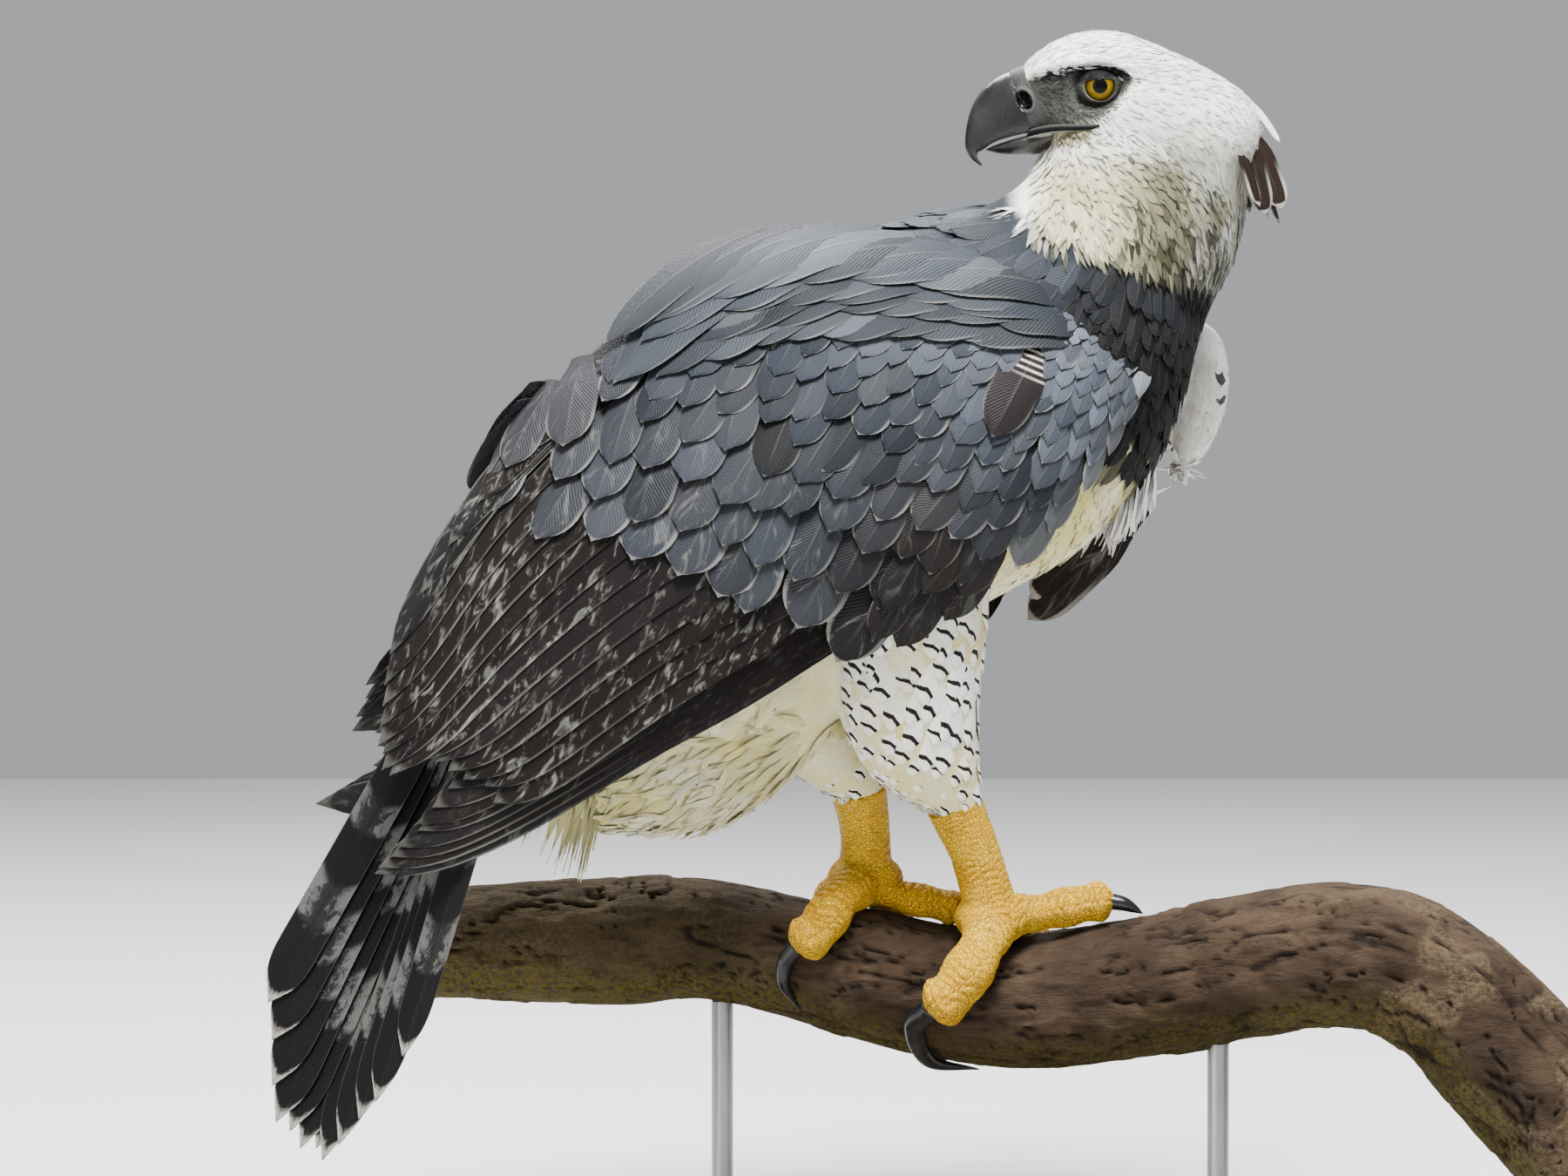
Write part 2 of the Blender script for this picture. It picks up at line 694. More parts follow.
class Coat:
    """Feathers gathered for one piece, each a thin closed vane."""

    def __init__(self):
        self.blocks = []

    def add(self, sheet, up, across, along, thick, tint, marks, bake, flip=False):
        """Adds vanes from their middle sheets (feather, step along, step across, xyz)."""
        count, steps, ways = sheet.shape[:3]
        swell = (thick / 2) * (1 - across**2)[None, None, :, None]
        lift = swell * up
        top, low = sheet + lift, sheet - lift
        rings = np.concatenate((top, low[:, :, -2:0:-1]), axis=2)
        s = np.concatenate((across, across[-2:0:-1]))
        ring = 2 * (ways - 1)
        i, j = np.meshgrid(np.arange(steps - 1), np.arange(ring), indexing="ij")
        k = (j + 1) % ring
        quads = np.stack([i * ring + j, i * ring + k, (i + 1) * ring + k, (i + 1) * ring + j], -1)
        quads = quads.reshape(-1, 4)
        caps = []
        last = (steps - 1) * ring
        for n in range(ways - 1):
            below, after = (ring - n) % ring, ring - n - 1
            caps.append((below, after, n + 1, n))
            caps.append((last + n, last + n + 1, last + after, last + below))
        caps = np.array(caps)
        four = np.concatenate((quads, caps[[len(set(c)) == 4 for c in caps.tolist()]]))
        three = [list(dict.fromkeys(c)) for c in caps.tolist() if len(set(c)) == 3]
        three = np.array(three, int).reshape(-1, 3)
        if flip:
            four, three = four[:, ::-1], three[:, ::-1]
        each = steps * ring
        place = np.stack(np.meshgrid(along, s, indexing="ij"), -1).reshape(1, each, 2)[..., ::-1] * (0.5, 1)
        centre, size = bake
        self.blocks.append({
            "points": rings.reshape(-1, 3), "four": four, "three": three, "count": count, "each": each,
            "tint": np.repeat(tint, each, axis=0), "marks": np.repeat(marks, each, axis=0),
            "vane": np.tile(place[0] + (0.5, 0), (count, 1)),
            "bake": (centre[:, None] + size[:, None] * (place - (0, 0.5))).reshape(-1, 2),
        })

    def piece(self, name, bend=60):
        """One mesh of all that was added, with its marks and both its maps."""
        shift, fours, threes = 0, [], []
        for block in self.blocks:
            starts = shift + block["each"] * np.arange(block["count"])
            fours.append((starts[:, None, None] + block["four"][None]).reshape(-1, 4))
            threes.append((starts[:, None, None] + block["three"][None]).reshape(-1, 3))
            shift += block["each"] * block["count"]
        gather = lambda key: np.concatenate([block[key] for block in self.blocks])
        obj = raw_mesh(name, gather("points"), [np.concatenate(fours), np.concatenate(threes)])
        store(obj, "tint", gather("tint"))
        store(obj, "marks", gather("marks"))
        corners = np.empty(len(obj.data.loops), np.int32)
        obj.data.loops.foreach_get("vertex_index", corners)
        for label, key in (("OFBake", "bake"), ("vane", "vane")):
            layer = obj.data.uv_layers.new(name=label)
            layer.data.foreach_set("uv", gather(key)[corners].astype(np.float32).ravel())
        soft_shade(obj, bend)
        return obj


def patches(places, column, line, size=0.003):
    """A small patch for every feather, at its root's place in one of the bake map's nine tiles."""
    inner = 0.03 + 0.94 * np.clip(places, 0, 1)
    return (inner + (column, line)) / 3, np.full((len(places), 2), size)


def cells_for(count, first, total):
    """Even cells of a bake map for a few large feathers, one each."""
    columns = max(1, int(math.ceil(math.sqrt(total * 4))))
    lines = int(math.ceil(total / columns))
    n = first + np.arange(count)
    centre = np.stack(((n % columns + 0.5) / columns, (n // columns + 0.5) / lines), -1)
    size = np.broadcast_to((0.9 / columns, 0.92 / lines), (count, 2))
    return centre, size


def lay_on_skin(coat, skin, roots, ahead, form, tint, marks, bake, rng):
    """Lays small feathers along the skin, each bent so that its tip comes down over it."""
    count = len(roots)
    draw = lambda low, high: rng.uniform(low, high, count)[:, None]
    roots, normal = skin.under(roots)
    ahead = ahead + rng.normal(0, form.get("stray", 0.1), ahead.shape)
    ahead = unit(ahead - normal * (ahead * normal).sum(-1, keepdims=True))
    length = form["long"] * np.ones((count, 1)) * draw(0.84, 1.16)
    half = form["half"] * np.ones((count, 1)) * draw(0.88, 1.12)
    tips, tip_normal = skin.under(roots + ahead * length)
    tips = tips + tip_normal * (form["proud"] * draw(0.7, 1.3))
    reach = tips - roots
    tips = roots + unit(reach) * np.maximum(np.linalg.norm(reach, axis=-1, keepdims=True), 0.8 * length)
    start = roots - normal * form.get("sunk", 0.0015)
    middle = (start + tips) / 2 + normal * (form.get("puff", 0.12) * length)
    t, share = form["outline"]
    across = np.linspace(-1, 1, form.get("ways", 2) + 1)
    x = t[:, None] * (1 - form.get("lag", 0.14) * across**2)
    x = x[None, ..., None]
    start, middle, tips = start[:, None, None], middle[:, None, None], tips[:, None, None]
    line = (1 - x) ** 2 * start + 2 * x * (1 - x) * middle + x**2 * tips
    along = unit(2 * (1 - x) * (middle - start) + 2 * x * (tips - middle))
    up = unit((1 - x) * normal[:, None, None] + x * tip_normal[:, None, None])
    side = unit(np.cross(along, up))
    up = np.cross(side, along)
    turn = rng.normal(0, form.get("twist", 0.06), (count, 1, 1, 1))
    side, up = side * np.cos(turn) + up * np.sin(turn), up * np.cos(turn) - side * np.sin(turn)
    wide = half[:, None, None] * share[None, :, None, None] * across[None, None, :, None]
    sway = rng.normal(0, form.get("sway", 0.04), (count, 1, 1, 1)) * length[:, None, None] * x**2
    arch = form.get("arch", 0.22) * np.abs(wide) * np.abs(across)[None, None, :, None]
    sheet = line + side * (wide + sway) - up * arch
    coat.add(sheet, up, across, t, form.get("thick", 0.0007), tint, marks, bake)


def lay_on_chart(coat, chart, roots, tips, form, tint, marks, bake):
    """Lays feathers over a chart of the wing or tail, following its every bend."""
    roots, tips = np.asarray(roots, float), np.asarray(tips, float)
    count = len(roots)
    t, share = form["outline"]
    across = np.linspace(-1, 1, form["ways"] + 1)
    x = t[None, :, None] * (1 - form.get("lag", 0.1) * across**2)[None, None, :]
    x = np.broadcast_to(x, (count, *x.shape[1:]))
    u = roots[:, 0, None, None] + (tips - roots)[:, 0, None, None] * x
    v = roots[:, 1, None, None] + (tips - roots)[:, 1, None, None] * x
    rise = np.asarray(form["rise"], float)
    if rise.ndim == 1:
        rise = np.broadcast_to(rise, (count, len(rise)))
    h = np.array([flow(rise[n], x[n]) for n in range(count)])
    step = form.get("step", 1e-3)
    along_u = (chart(u + step, v, h) - chart(u - step, v, h)) / (2 * step)
    along_v = (chart(u, v + step, h) - chart(u, v - step, h)) / (2 * step)
    up = unit(np.cross(along_u, along_v)) * chart.outward
    ways = tips - roots
    ahead = unit(along_u * ways[:, 0, None, None, None] + along_v * ways[:, 1, None, None, None])
    side = np.cross(up, ahead) * chart.outward
    half = np.broadcast_to(np.asarray(form["half"], float), (count,))[:, None, None]
    lean = form.get("lopsided", 0.0)
    out = across * (1 + lean * across)
    wide = half * MM * share[None, :, None] * out[None, None, :]
    uu, vv = (along_u**2).sum(-1), (along_v**2).sum(-1)
    uv = (along_u * along_v).sum(-1)
    au, av = (side * along_u).sum(-1), (side * along_v).sum(-1)
    fall = uu * vv - uv * uv
    du, dv = wide * (au * vv - av * uv) / fall, wide * (av * uu - au * uv) / fall
    tilt = flow(form.get("tilt", [0.16, 0.2]), x)
    arch = form.get("arch", 0.06) * np.abs(wide) * np.abs(across)[None, None, :]
    sheet = chart(u + du, v + dv, h + (wide * tilt - arch) / MM)
    coat.add(sheet, up, across, t, form["thick"], tint, marks, bake, flip=chart.outward > 0)


class WingChart:
    """u runs from the bend of the wing to its tip, v from the upper edge to the lower."""

    def __init__(self, side):
        self.side = self.outward = side

    def place(self, u, v):
        f = (1 - v) * flow(WING["top_f"], u) + v * flow(WING["low_f"], u)
        z = (1 - v) * flow(WING["top_z"], u) + v * flow(WING["low_z"], u)
        r = (1 - v) * flow(WING["top_r"], u) + v * flow(WING["low_r"], u)
        r = r + flow(WING["swell"], u) * 4 * v * (1 - v)
        if self.side > 0:
            return bird(f, r, z)
        forward, out, rise = (flow(LEFT_WING[key], u) for key in ("forward", "out", "rise"))
        return bird(f + forward, -r - out, z + rise)

    def __call__(self, u, v, h):
        step = 2e-3
        along_u = self.place(u + step, v) - self.place(u - step, v)
        along_v = self.place(u, v + step) - self.place(u, v - step)
        return self.place(u, v) + unit(np.cross(along_u, along_v)) * (h * self.side * MM)[..., None]


class TailChart:
    """u runs along the tail and v across it, both in millimetres."""

    outward = 1

    def __init__(self):
        self.root = bird(TAIL["root_f"], 0, TAIL["root_z"])
        self.along = -FORWARD * math.cos(TAIL["slope"]) - UP * math.sin(TAIL["slope"])
        roll = TAIL["roll"]
        flat = np.cross(self.along, RIGHT)
        self.across = RIGHT * math.cos(roll) - flat * math.sin(roll)
        self.up = np.cross(self.across, self.along)

    def __call__(self, u, v, h):
        u, v, h = np.broadcast_arrays(u, v, h)
        lift = h - TAIL_DROOP * v * v
        span = u[..., None] * self.along + v[..., None] * self.across + lift[..., None] * self.up
        return self.root + MM * span


class VaneChart:
    """A single feather's chart: u from its root to its tip, v across in millimetres."""

    outward = -1

    def __init__(self, root, tip, facing, arch):
        self.start, self.reach, self.arch = root, tip - root, arch
        self.across = unit(np.cross(self.reach, facing))
        self.up = unit(np.cross(self.across, self.reach))

    def __call__(self, u, v, h):
        lift = (h + self.arch * u * (1 - u)) * MM
        line = self.start + self.reach * u[..., None] + self.across * (v * MM)[..., None]
        return line + self.up * lift[..., None]


# Where the plumage changes colour: the lower edge of the white ruff, and the dark breast's end
RUFF_X = [20, 36, 53, 75, 120, 178, 200]
RUFF_Z = [668, 660, 646, 640, 630, 620, 628]
BREAST_END_F = [-60, 60, 100, 130, 170]
BREAST_END_Z = [540, 512, 508, 500, 486]
BACK_LINE_F = [-290, -200, -100, 0, 60, 110, 160]
BACK_LINE_Z = [430, 500, 560, 596, 620, 660, 700]


# How far back the bare cere reaches, from the mouth up to the forehead
CERE_EDGE_Z = [712, 725, 740, 748]
CERE_EDGE_X = [56, 54, 49, 37]

# The dark mask of the face: its upper edge under the brow, and its lower edge
MASK_X = [36, 42, 50, 62, 76, 90, 100, 107, 113]
MASK_TOP = [742, 743, 745, 750, 751.5, 751.5, 750.5, 748, 744]
MASK_LOW = [710, 710, 711, 712, 713, 716, 723, 733, 742]


def face_mask(points):
    """How far a place is in the bare mask, in the black line of the brow and in the bare chin."""
    x, y, z = (points / MM).T
    side = smooth(np.abs(y - HEAD_Y), 9, 13) * smooth(-x, -116, -110)
    top, low = np.interp(x, MASK_X, MASK_TOP), np.interp(x, MASK_X, MASK_LOW)
    inside = smooth(top - z, -0.8, 0.8) * smooth(z - low, -3, 4) * side
    line = (1 - smooth(np.abs(z - top + 1.4), 1.2, 3.2)) * smooth(x, 46, 60) * side
    chin = smooth(z, 699, 705) * smooth(low + 2 - z, -2, 2) * smooth(-x, -92, -78) * smooth(x, 44, 52)
    return inside, line, chin * smooth(np.abs(y - HEAD_Y), 3, 9)


def plumage_place(points):
    """How far a place is in the white head, the dark back and the dark breast, 0 to 1 each."""
    f, _, z = in_bird(points)
    x = points[..., 0] / MM
    head = smooth(z - np.interp(x, RUFF_X, RUFF_Z), -5, 5) * smooth(x, 30, 44)
    back = smooth(z - np.interp(f, BACK_LINE_F, BACK_LINE_Z), -10, 10)
    breast = smooth(z - np.interp(f, BREAST_END_F, BREAST_END_Z), -5, 5)
    return head, back, breast


def blend(one, other, share):
    """One colour turning into the other as share goes from 0 to 1."""
    share = np.asarray(share)[..., None]
    return np.asarray(one) * (1 - share) + np.asarray(other) * share


def plumage_tint(points, colours):
    """The plumage's colour at places on the body."""
    head, back, breast = plumage_place(points)
    wave = noise3(points, 55, 3)
    belly = blend(colours.white, np.array(colours.cream) * (1, 0.95, 0.6), 0.72 + 0.28 * wave)
    collar = blend(colours.charcoal, colours.ash, smooth(points[..., 2] / MM, 560, 640) * 0.14)
    tint = blend(belly, collar, breast)
    tint = blend(tint, np.asarray(colours.slate), back)
    x, _, z = (points / MM).T
    warm = (1 - smooth(z, 676, 708)) * (1 - smooth(x, 120, 165)) * smooth(x, 42, 66)
    dull = (1 - smooth(z, 668, 722)) * smooth(x, 92, 142)
    ruff = blend(colours.white, colours.cream, 0.75 * warm + 0.06 * (1 + wave))
    olive = np.clip((0.95 * dull**0.5 + 0.45 * warm) * (0.8 + 0.3 * wave), 0, 0.95)
    ruff = blend(ruff, (0.12, 0.115, 0.066), olive)
    tint = blend(tint, ruff, head)
    inside, line, chin = face_mask(points)
    grey = blend((0.035, 0.037, 0.033), (0.13, 0.135, 0.12), smooth(-z, -738, -712) * (0.6 + 0.4 * wave))
    tint = blend(blend(tint, grey, inside), (0.2, 0.17, 0.06), 0.85 * chin)
    bend = smooth(x, 134, 142) * smooth(points[:, 1] / MM, 66, 76) * smooth(z, 468, 480)
    tint = blend(tint, colours.white, bend)
    return blend(tint, colours.charcoal, line)


def colour(name, text, value):
    return FloatVectorProperty(
        name=name, description=text, subtype="COLOR", size=3, min=0, max=1, default=value,
    )


def size(name, text, value):
    """A length in metres."""
    return FloatProperty(name=name, description=text, default=value, min=0.0, unit="LENGTH", precision=5)


def number(name, text, value, least):
    return IntProperty(name=name, description=text, default=value, min=least)


class EagleColours(bpy.types.PropertyGroup):
    white: colour("White", "Head, belly and legs", (0.88, 0.875, 0.84))
    cream: colour("Cream", "Warmer parts of the white", (0.66, 0.61, 0.32))
    slate: colour("Slate", "Back and smallest wing feathers", (0.021, 0.025, 0.032))
    ash: colour("Ash", "Greyer, paler feathers", (0.062, 0.07, 0.084))
    charcoal: colour("Charcoal", "Dark band over the breast", (0.004, 0.004, 0.004))
    brown: colour("Dark brown", "Flight feathers and large coverts", (0.0085, 0.007, 0.0065))
    umber: colour("Umber", "Feathers of the crest", (0.014, 0.008, 0.0055))
    rim: colour("Rim", "Pale edges of the feathers", (0.34, 0.33, 0.3))
    horn: colour("Horn", "Bill and claws", (0.005, 0.0055, 0.006))
    cere: colour("Cere", "Bare skin at the base of the bill", (0.02, 0.0215, 0.02))
    leg: colour("Legs", "Scaled skin of legs and toes", (0.62, 0.33, 0.0))
    iris: colour("Iris", "Amber of the eye", (0.14, 0.085, 0.001))
    bark: colour("Bark", "Grey brown of the branch", (0.027, 0.016, 0.009))
    wood: colour("Stand wood", "Stained wood of the base", (0.035, 0.022, 0.016))


class EagleSizes(bpy.types.PropertyGroup):
    skin_depth: size("Skin depth", "How far the skin lies under the coat", 0.006)
    skin_grain: size("Skin grain", "Side of the skin's faces", 0.0034)
    head_spacing: size("Head feathers", "Distance between feathers of the head", 0.0034)
    face_spacing: size("Face feathers", "Distance between feathers round the eye", 0.0019)
    neck_spacing: size("Neck feathers", "Distance between feathers of the neck", 0.0046)
    breast_spacing: size("Breast feathers", "Distance between feathers of the breast", 0.0085)
    belly_spacing: size("Belly feathers", "Distance between feathers of the belly", 0.0062)
    thigh_spacing: size("Thigh feathers", "Distance between feathers of the thighs", 0.0112)
    foot_grain: size("Foot grain", "Side of the faces of the feet", 0.0013)
    primaries: number("Primaries", "Long outer feathers of each wing", 9, 4)
    secondaries: number("Secondaries", "Inner flight feathers", 14, 4)
    bark_rings: number("Bark rings", "Rings of points along the branch", 400, 20)
    bark_sides: number("Bark sides", "Points round the branch", 120, 12)
    floor: size("Floor", "Side of the floor", 9.0)


def plumage_paint(name, colours, barbs=30.0, depth=0.0004, barred=False, waves=(2.6, 5), shaft=0.2):
    """Feathers: own tint, shaft, barbs, thin pale rim, marbling and wavy bars."""
    paint = Paint(name)
    x, t, side = paint.vane()
    tint = paint.attribute("tint")["Color"]
    rim, bars, seed, marble = paint.marks()
    drift = paint.vector(x * 5 + seed * 31, t * 1.6 - side * 0.7, seed * 57)
    streak = paint.noise(drift, 3.0, 4.0, 0.65)
    cross = paint.vector(x * waves[0] + seed * 11, t * waves[1] - side * 2, seed * 83)
    mottle = paint.noise(cross, 1.0, 4.0, 0.65, 0.8)
    barb = ((t - side * 0.3) * (barbs * TURN) + streak * 3).sin()
    shade = (0.8 + t * 0.2) * (0.84 + streak * 0.34) * (1 + barb * 0.06)
    spots = mottle.step(0.52, 0.74) * marble * (0.2 + streak * 0.8)
    middle = (1 - side.step(0.02, 0.08)) * (1 - t.step(0.6, 0.95)) * shaft
    if barred:
        slant = t + (x - 0.5) * 0.2 - side * 0.12 + (mottle - 0.5) * 0.06
        apart = (slant - 0.75).abs() + side * side * 0.012
        lines = (1 - apart.step(0.03, 0.046)) * bars.step(0.15, 0.35), (0.008, 0.006, 0.005)
    else:
        wave = ((t * 13 + x * 0.8) * TURN).sin().step(0.1, 0.6)
        lines = wave * (1 - t.step(0.3, 0.42)) * bars, (0.4, 0.36, 0.32)
    rim_side = side.step(0.92 - rim * 0.3, 1.02 - rim * 0.25)
    rim_tip = t.step(0.985 - rim * 0.06, 1.0 - rim * 0.05)
    edge = (rim_side * t.step(0.45, 0.85)).math("MAXIMUM", rim_tip)
    shown = paint.layers(
        paint.shaded(tint, shade), (spots, colours.rim), (middle, paint.mix(0.5, tint, colours.rim)), lines,
        (edge * rim * (0.35 + streak), colours.rim),
    )
    relief = barb * 0.3 + streak * 0.5 + (1 - side.step(0.0, 0.12)) * 0.8
    return paint.finish(shown, 0.42 + streak * 0.25, relief, depth, specular_ior_level=0.1)


def tail_paint(name, colours):
    """Tail feathers: black with grey bands, marbled where they meet, and a whitish tip."""
    paint = Paint(name)
    x, t, side = paint.vane()
    _, _, seed, _ = paint.marks()
    drift = paint.vector(x * 3 + seed * 31, t * 26, seed * 57)
    mottle = paint.noise(drift, 1.6, 4.0, 0.7, 0.6)
    fine = paint.noise(drift, 9.0, 3.0, 0.7)
    at = t + (mottle - 0.5) * 0.035 + side * side * 0.012
    ramp = paint.node("ShaderNodeValToRGB", None, {"Fac": at})
    dark, grey = (0.0045, 0.004, 0.004), (0.085, 0.082, 0.078)
    stops = [
        (0.0, grey), (0.14, grey), (0.15, dark), (0.32, dark), (0.335, grey), (0.4, grey), (0.415, dark),
        (0.53, dark), (0.545, grey), (0.6, grey), (0.615, dark), (0.72, dark), (0.735, grey), (0.82, grey),
        (0.835, dark), (0.972, dark), (0.988, (0.36, 0.34, 0.3)),
    ]
    elements = ramp.color_ramp.elements
    for place, value in stops[1:-1]:
        elements.new(place).color = (*value, 1)
    elements[0].position, elements[0].color = 0.0, (*stops[0][1], 1)
    elements[-1].position, elements[-1].color = stops[-1][0], (*stops[-1][1], 1)
    barb = ((t - side * 0.12) * 700 + fine * 4).sin()
    shade = (0.7 + fine * 0.6) * (1 + barb * 0.05)
    inner = (mottle * 1.3 + (1 - side) * 0.5).step(0.72, 1.0) * (1 - t.step(0.955, 0.975)) * 0.9
    shown = paint.layers(
        paint.shaded(ramp.outputs["Color"], shade), (inner, dark), (side.step(0.95, 1.0) * 0.12, colours.rim),
        ((1 - side.step(0.015, 0.05)) * 0.5, (0.012, 0.01, 0.009)),
    )
    relief = barb * 0.25 + fine * 0.4 + (1 - side.step(0.0, 0.06)) * 1.2
    return paint.finish(shown, 0.38 + fine * 0.3, relief, 0.0005, specular_ior_level=0.1)


def skin_paint(name):
    """Down under the coat, in the coat's own colours and a little darker."""
    paint = Paint(name)
    tint = paint.attribute("tint")["Color"]
    place = paint.place()
    fluff = paint.noise(place, 420, 4, 0.65)
    patch = paint.noise(place, 60, 2, 0.5)
    shown = paint.shaded(tint, 0.6 + fluff * 0.4 + patch * 0.15)
    return paint.finish(shown, 0.8 + fluff * 0.15, fluff, 0.001, specular_ior_level=0.15)


def horn_paint(name, colours, gloss=0.17):
    """Horn with fine lengthwise growth, browner and duller where it is worn."""
    paint = Paint(name)
    place = paint.place(stretch=(1, 1, 1))
    grain = paint.noise(place, 240, 5, 0.6, 0.6)
    worn = paint.noise(place, 55, 3, 0.55)
    edge, _, _, _ = paint.marks()
    base = paint.layers(
        colours.horn, (worn.step(0.4, 0.85) * 0.5, (0.03, 0.031, 0.031)),
        (edge * (0.35 + grain * 0.8), (0.06, 0.055, 0.045)),
    )
    scratch = paint.noise(paint.place(stretch=(1, 1, 0.18)), 800, 3, 0.6)
    shown = paint.shaded(base, 0.75 + grain * 0.5)
    rough = gloss + worn * 0.16 + scratch * 0.08
    return paint.finish(shown, rough, grain * 0.7 + scratch * 0.3, 0.0004, specular_ior_level=0.38)


def cere_paint(name, colours):
    """Bare waxy skin, pale at its front edge, with pores and fine creases."""
    paint = Paint(name)
    place = paint.place()
    pores = paint.cells(place, 900)
    blotch = paint.noise(place, 90, 4, 0.6)
    pale, dark, _, _ = paint.marks()
    base = paint.layers(
        colours.cere, (blotch.step(0.3, 0.7) * 0.5, (0.045, 0.048, 0.045)), (pale, (0.24, 0.24, 0.19)),
        (dark, (0.002, 0.002, 0.002)),
    )
    shown = paint.shaded(base, 0.8 + pores * 0.35)
    rough = 0.4 + blotch * 0.2
    return paint.finish(shown, rough, pores * 0.5 + blotch * 0.5, 0.0004, specular_ior_level=0.12)


def leg_paint(name, colours):
    """Scaled skin: broad plates down the front and over the toes, small scales elsewhere."""
    paint = Paint(name)
    place = paint.place()
    tiny = paint.cells(paint.place(stretch=(1, 1, 1.4)), 400, "DISTANCE_TO_EDGE")
    stain = paint.noise(place, 45, 4, 0.6)
    fine = paint.noise(place, 700, 3, 0.6)
    groove, plate, _, _ = paint.marks()
    small = 1 - tiny.step(0.0, 0.14)
    crack = (small * (1 - plate * 0.3) * 0.9 + groove).clamp()
    base = paint.layers(
        colours.leg, (stain.step(0.4, 0.8), (0.7, 0.46, 0.02)),
        (stain.step(0.6, 0.75) * 0.4, (0.42, 0.2, 0.0)), (crack * 0.6, (0.3, 0.12, 0.0)),
    )
    shown = paint.shaded(base, 0.75 + fine * 0.5)
    relief = fine * 0.15 - crack * 0.9
    return paint.finish(shown, 0.45 + fine * 0.2, relief, 0.0016, specular_ior_level=0.25)


def eye_paint(name, colours):
    """Amber iris with fine spokes and a dark ring, round a black pupil."""
    paint = Paint(name)
    reach, spoke, shadow, _ = paint.marks()
    fibres = paint.noise(paint.vector(spoke * 60, reach * 4), 1.0, 4, 0.7)
    shown = paint.layers(
        colours.iris, (fibres.step(0.3, 0.75), (0.2, 0.122, 0.002)),
        (reach.step(0.66, 1.0) * 0.95, (0.012, 0.007, 0.001)), (shadow * 0.75, (0.01, 0.006, 0.001)),
        (1 - reach.step(0.49, 0.53), (0.002, 0.002, 0.002)), (reach.step(0.98, 1.04), (0.02, 0.015, 0.012)),
    )
    return paint.finish(shown, 0.04 + fibres * 0.02, specular_ior_level=0.1)


def lid_paint(name):
    """Wrinkled pale grey-green skin round the eye."""
    paint = Paint(name)
    place = paint.place()
    wrinkle = paint.noise(paint.place(stretch=(1, 1, 2.2)), 520, 4, 0.6, 0.5)
    blotch = paint.noise(place, 160, 3, 0.5)
    pale, shadow, _, _ = paint.marks()
    base = paint.layers(
        (0.014, 0.0145, 0.012), (blotch.step(0.35, 0.7), (0.03, 0.031, 0.026)), (pale, (0.1, 0.105, 0.07)),
        (shadow, (0.002, 0.002, 0.002)),
    )
    shown = paint.shaded(base, 0.7 + wrinkle * 0.55)
    return paint.finish(shown, 0.5 + blotch * 0.1, wrinkle, 0.0005, specular_ior_level=0.1)


def bark_paint(name, colours):
    """Dry bark: grey brown on top, darker in the cracks, olive underneath; pale cut ends."""
    paint = Paint(name)
    place = paint.place()
    x, _, _ = paint.apart(place)
    grainy = paint.place(stretch=(0.28, 1, 1))
    long_grain = paint.noise(grainy, 130, 6, 0.65, 0.7)
    fine = paint.noise(grainy, 620, 4, 0.7, 0.4)
    patch = paint.noise(place, 16, 4, 0.6, 0.5)
    speck = paint.noise(place, 300, 4, 0.75)
    crack, under, cut, peel = paint.marks()
    moss = (under + (0 - x).step(0.06, 0.2) * 0.35) * (0.3 + patch * 0.9) * speck.step(0.4, 0.6)
    rings = paint.node("ShaderNodeTexWave", {"wave_type": "RINGS", "rings_direction": "X"}, {
        "Vector": paint.place(centre=(0, 0.07, -0.12)), "Scale": 60.0, "Distortion": 3.0, "Detail": 3.0,
        "Detail Scale": 2.0, "Detail Roughness": 0.6, "Phase Offset": 0.0,
    })
    end_grain = paint.mix(rings.outputs["Fac"], (0.45, 0.31, 0.17), (0.3, 0.19, 0.1))
    base = paint.layers(
        colours.bark, (patch.step(0.35, 0.7), (0.062, 0.04, 0.024)),
        (long_grain.step(0.45, 0.7) * 0.75, (0.009, 0.005, 0.003)),
        (peel * speck.step(0.35, 0.65) * 0.6, (0.12, 0.088, 0.048)), (moss, (0.085, 0.07, 0.008)),
        (crack * 0.9, (0.004, 0.0025, 0.0015)), (cut, end_grain),
    )
    shown = paint.shaded(base, 0.62 + fine * 0.75)
    relief = long_grain * 0.7 + fine * 0.4
    return paint.finish(shown, 0.78 + fine * 0.16, relief, 0.0036, specular_ior_level=0.15)


def wood_paint(name, colours):
    """Dark stained wood with long grain and a satin varnish."""
    paint = Paint(name)
    grain = paint.noise(paint.place(stretch=(0.05, 1, 1)), 240, 6, 0.65, 0.3)
    pores = paint.noise(paint.place(stretch=(0.03, 1, 1)), 1100, 3, 0.6)
    base = paint.mix(grain.step(0.35, 0.7), colours.wood, (0.12, 0.075, 0.045))
    shown = paint.shaded(base, 0.75 + pores * 0.5)
    rough = 0.32 + pores * 0.25
    return paint.finish(shown, rough, pores, 0.0002, coat_weight=0.35, coat_roughness=0.25)


def steel_paint(name):
    """Brushed steel."""
    paint = Paint(name)
    brush = paint.noise(paint.place(stretch=(1, 1, 0.02)), 1500, 3, 0.6)
    smear = paint.noise(paint.place(), 30, 3, 0.5)
    base = paint.mix(smear, (0.42, 0.43, 0.44), (0.55, 0.55, 0.55))
    shown = paint.shaded(base, 0.85 + brush * 0.3)
    return paint.finish(shown, 0.26 + brush * 0.2, brush, 0.0001, metallic=1.0)


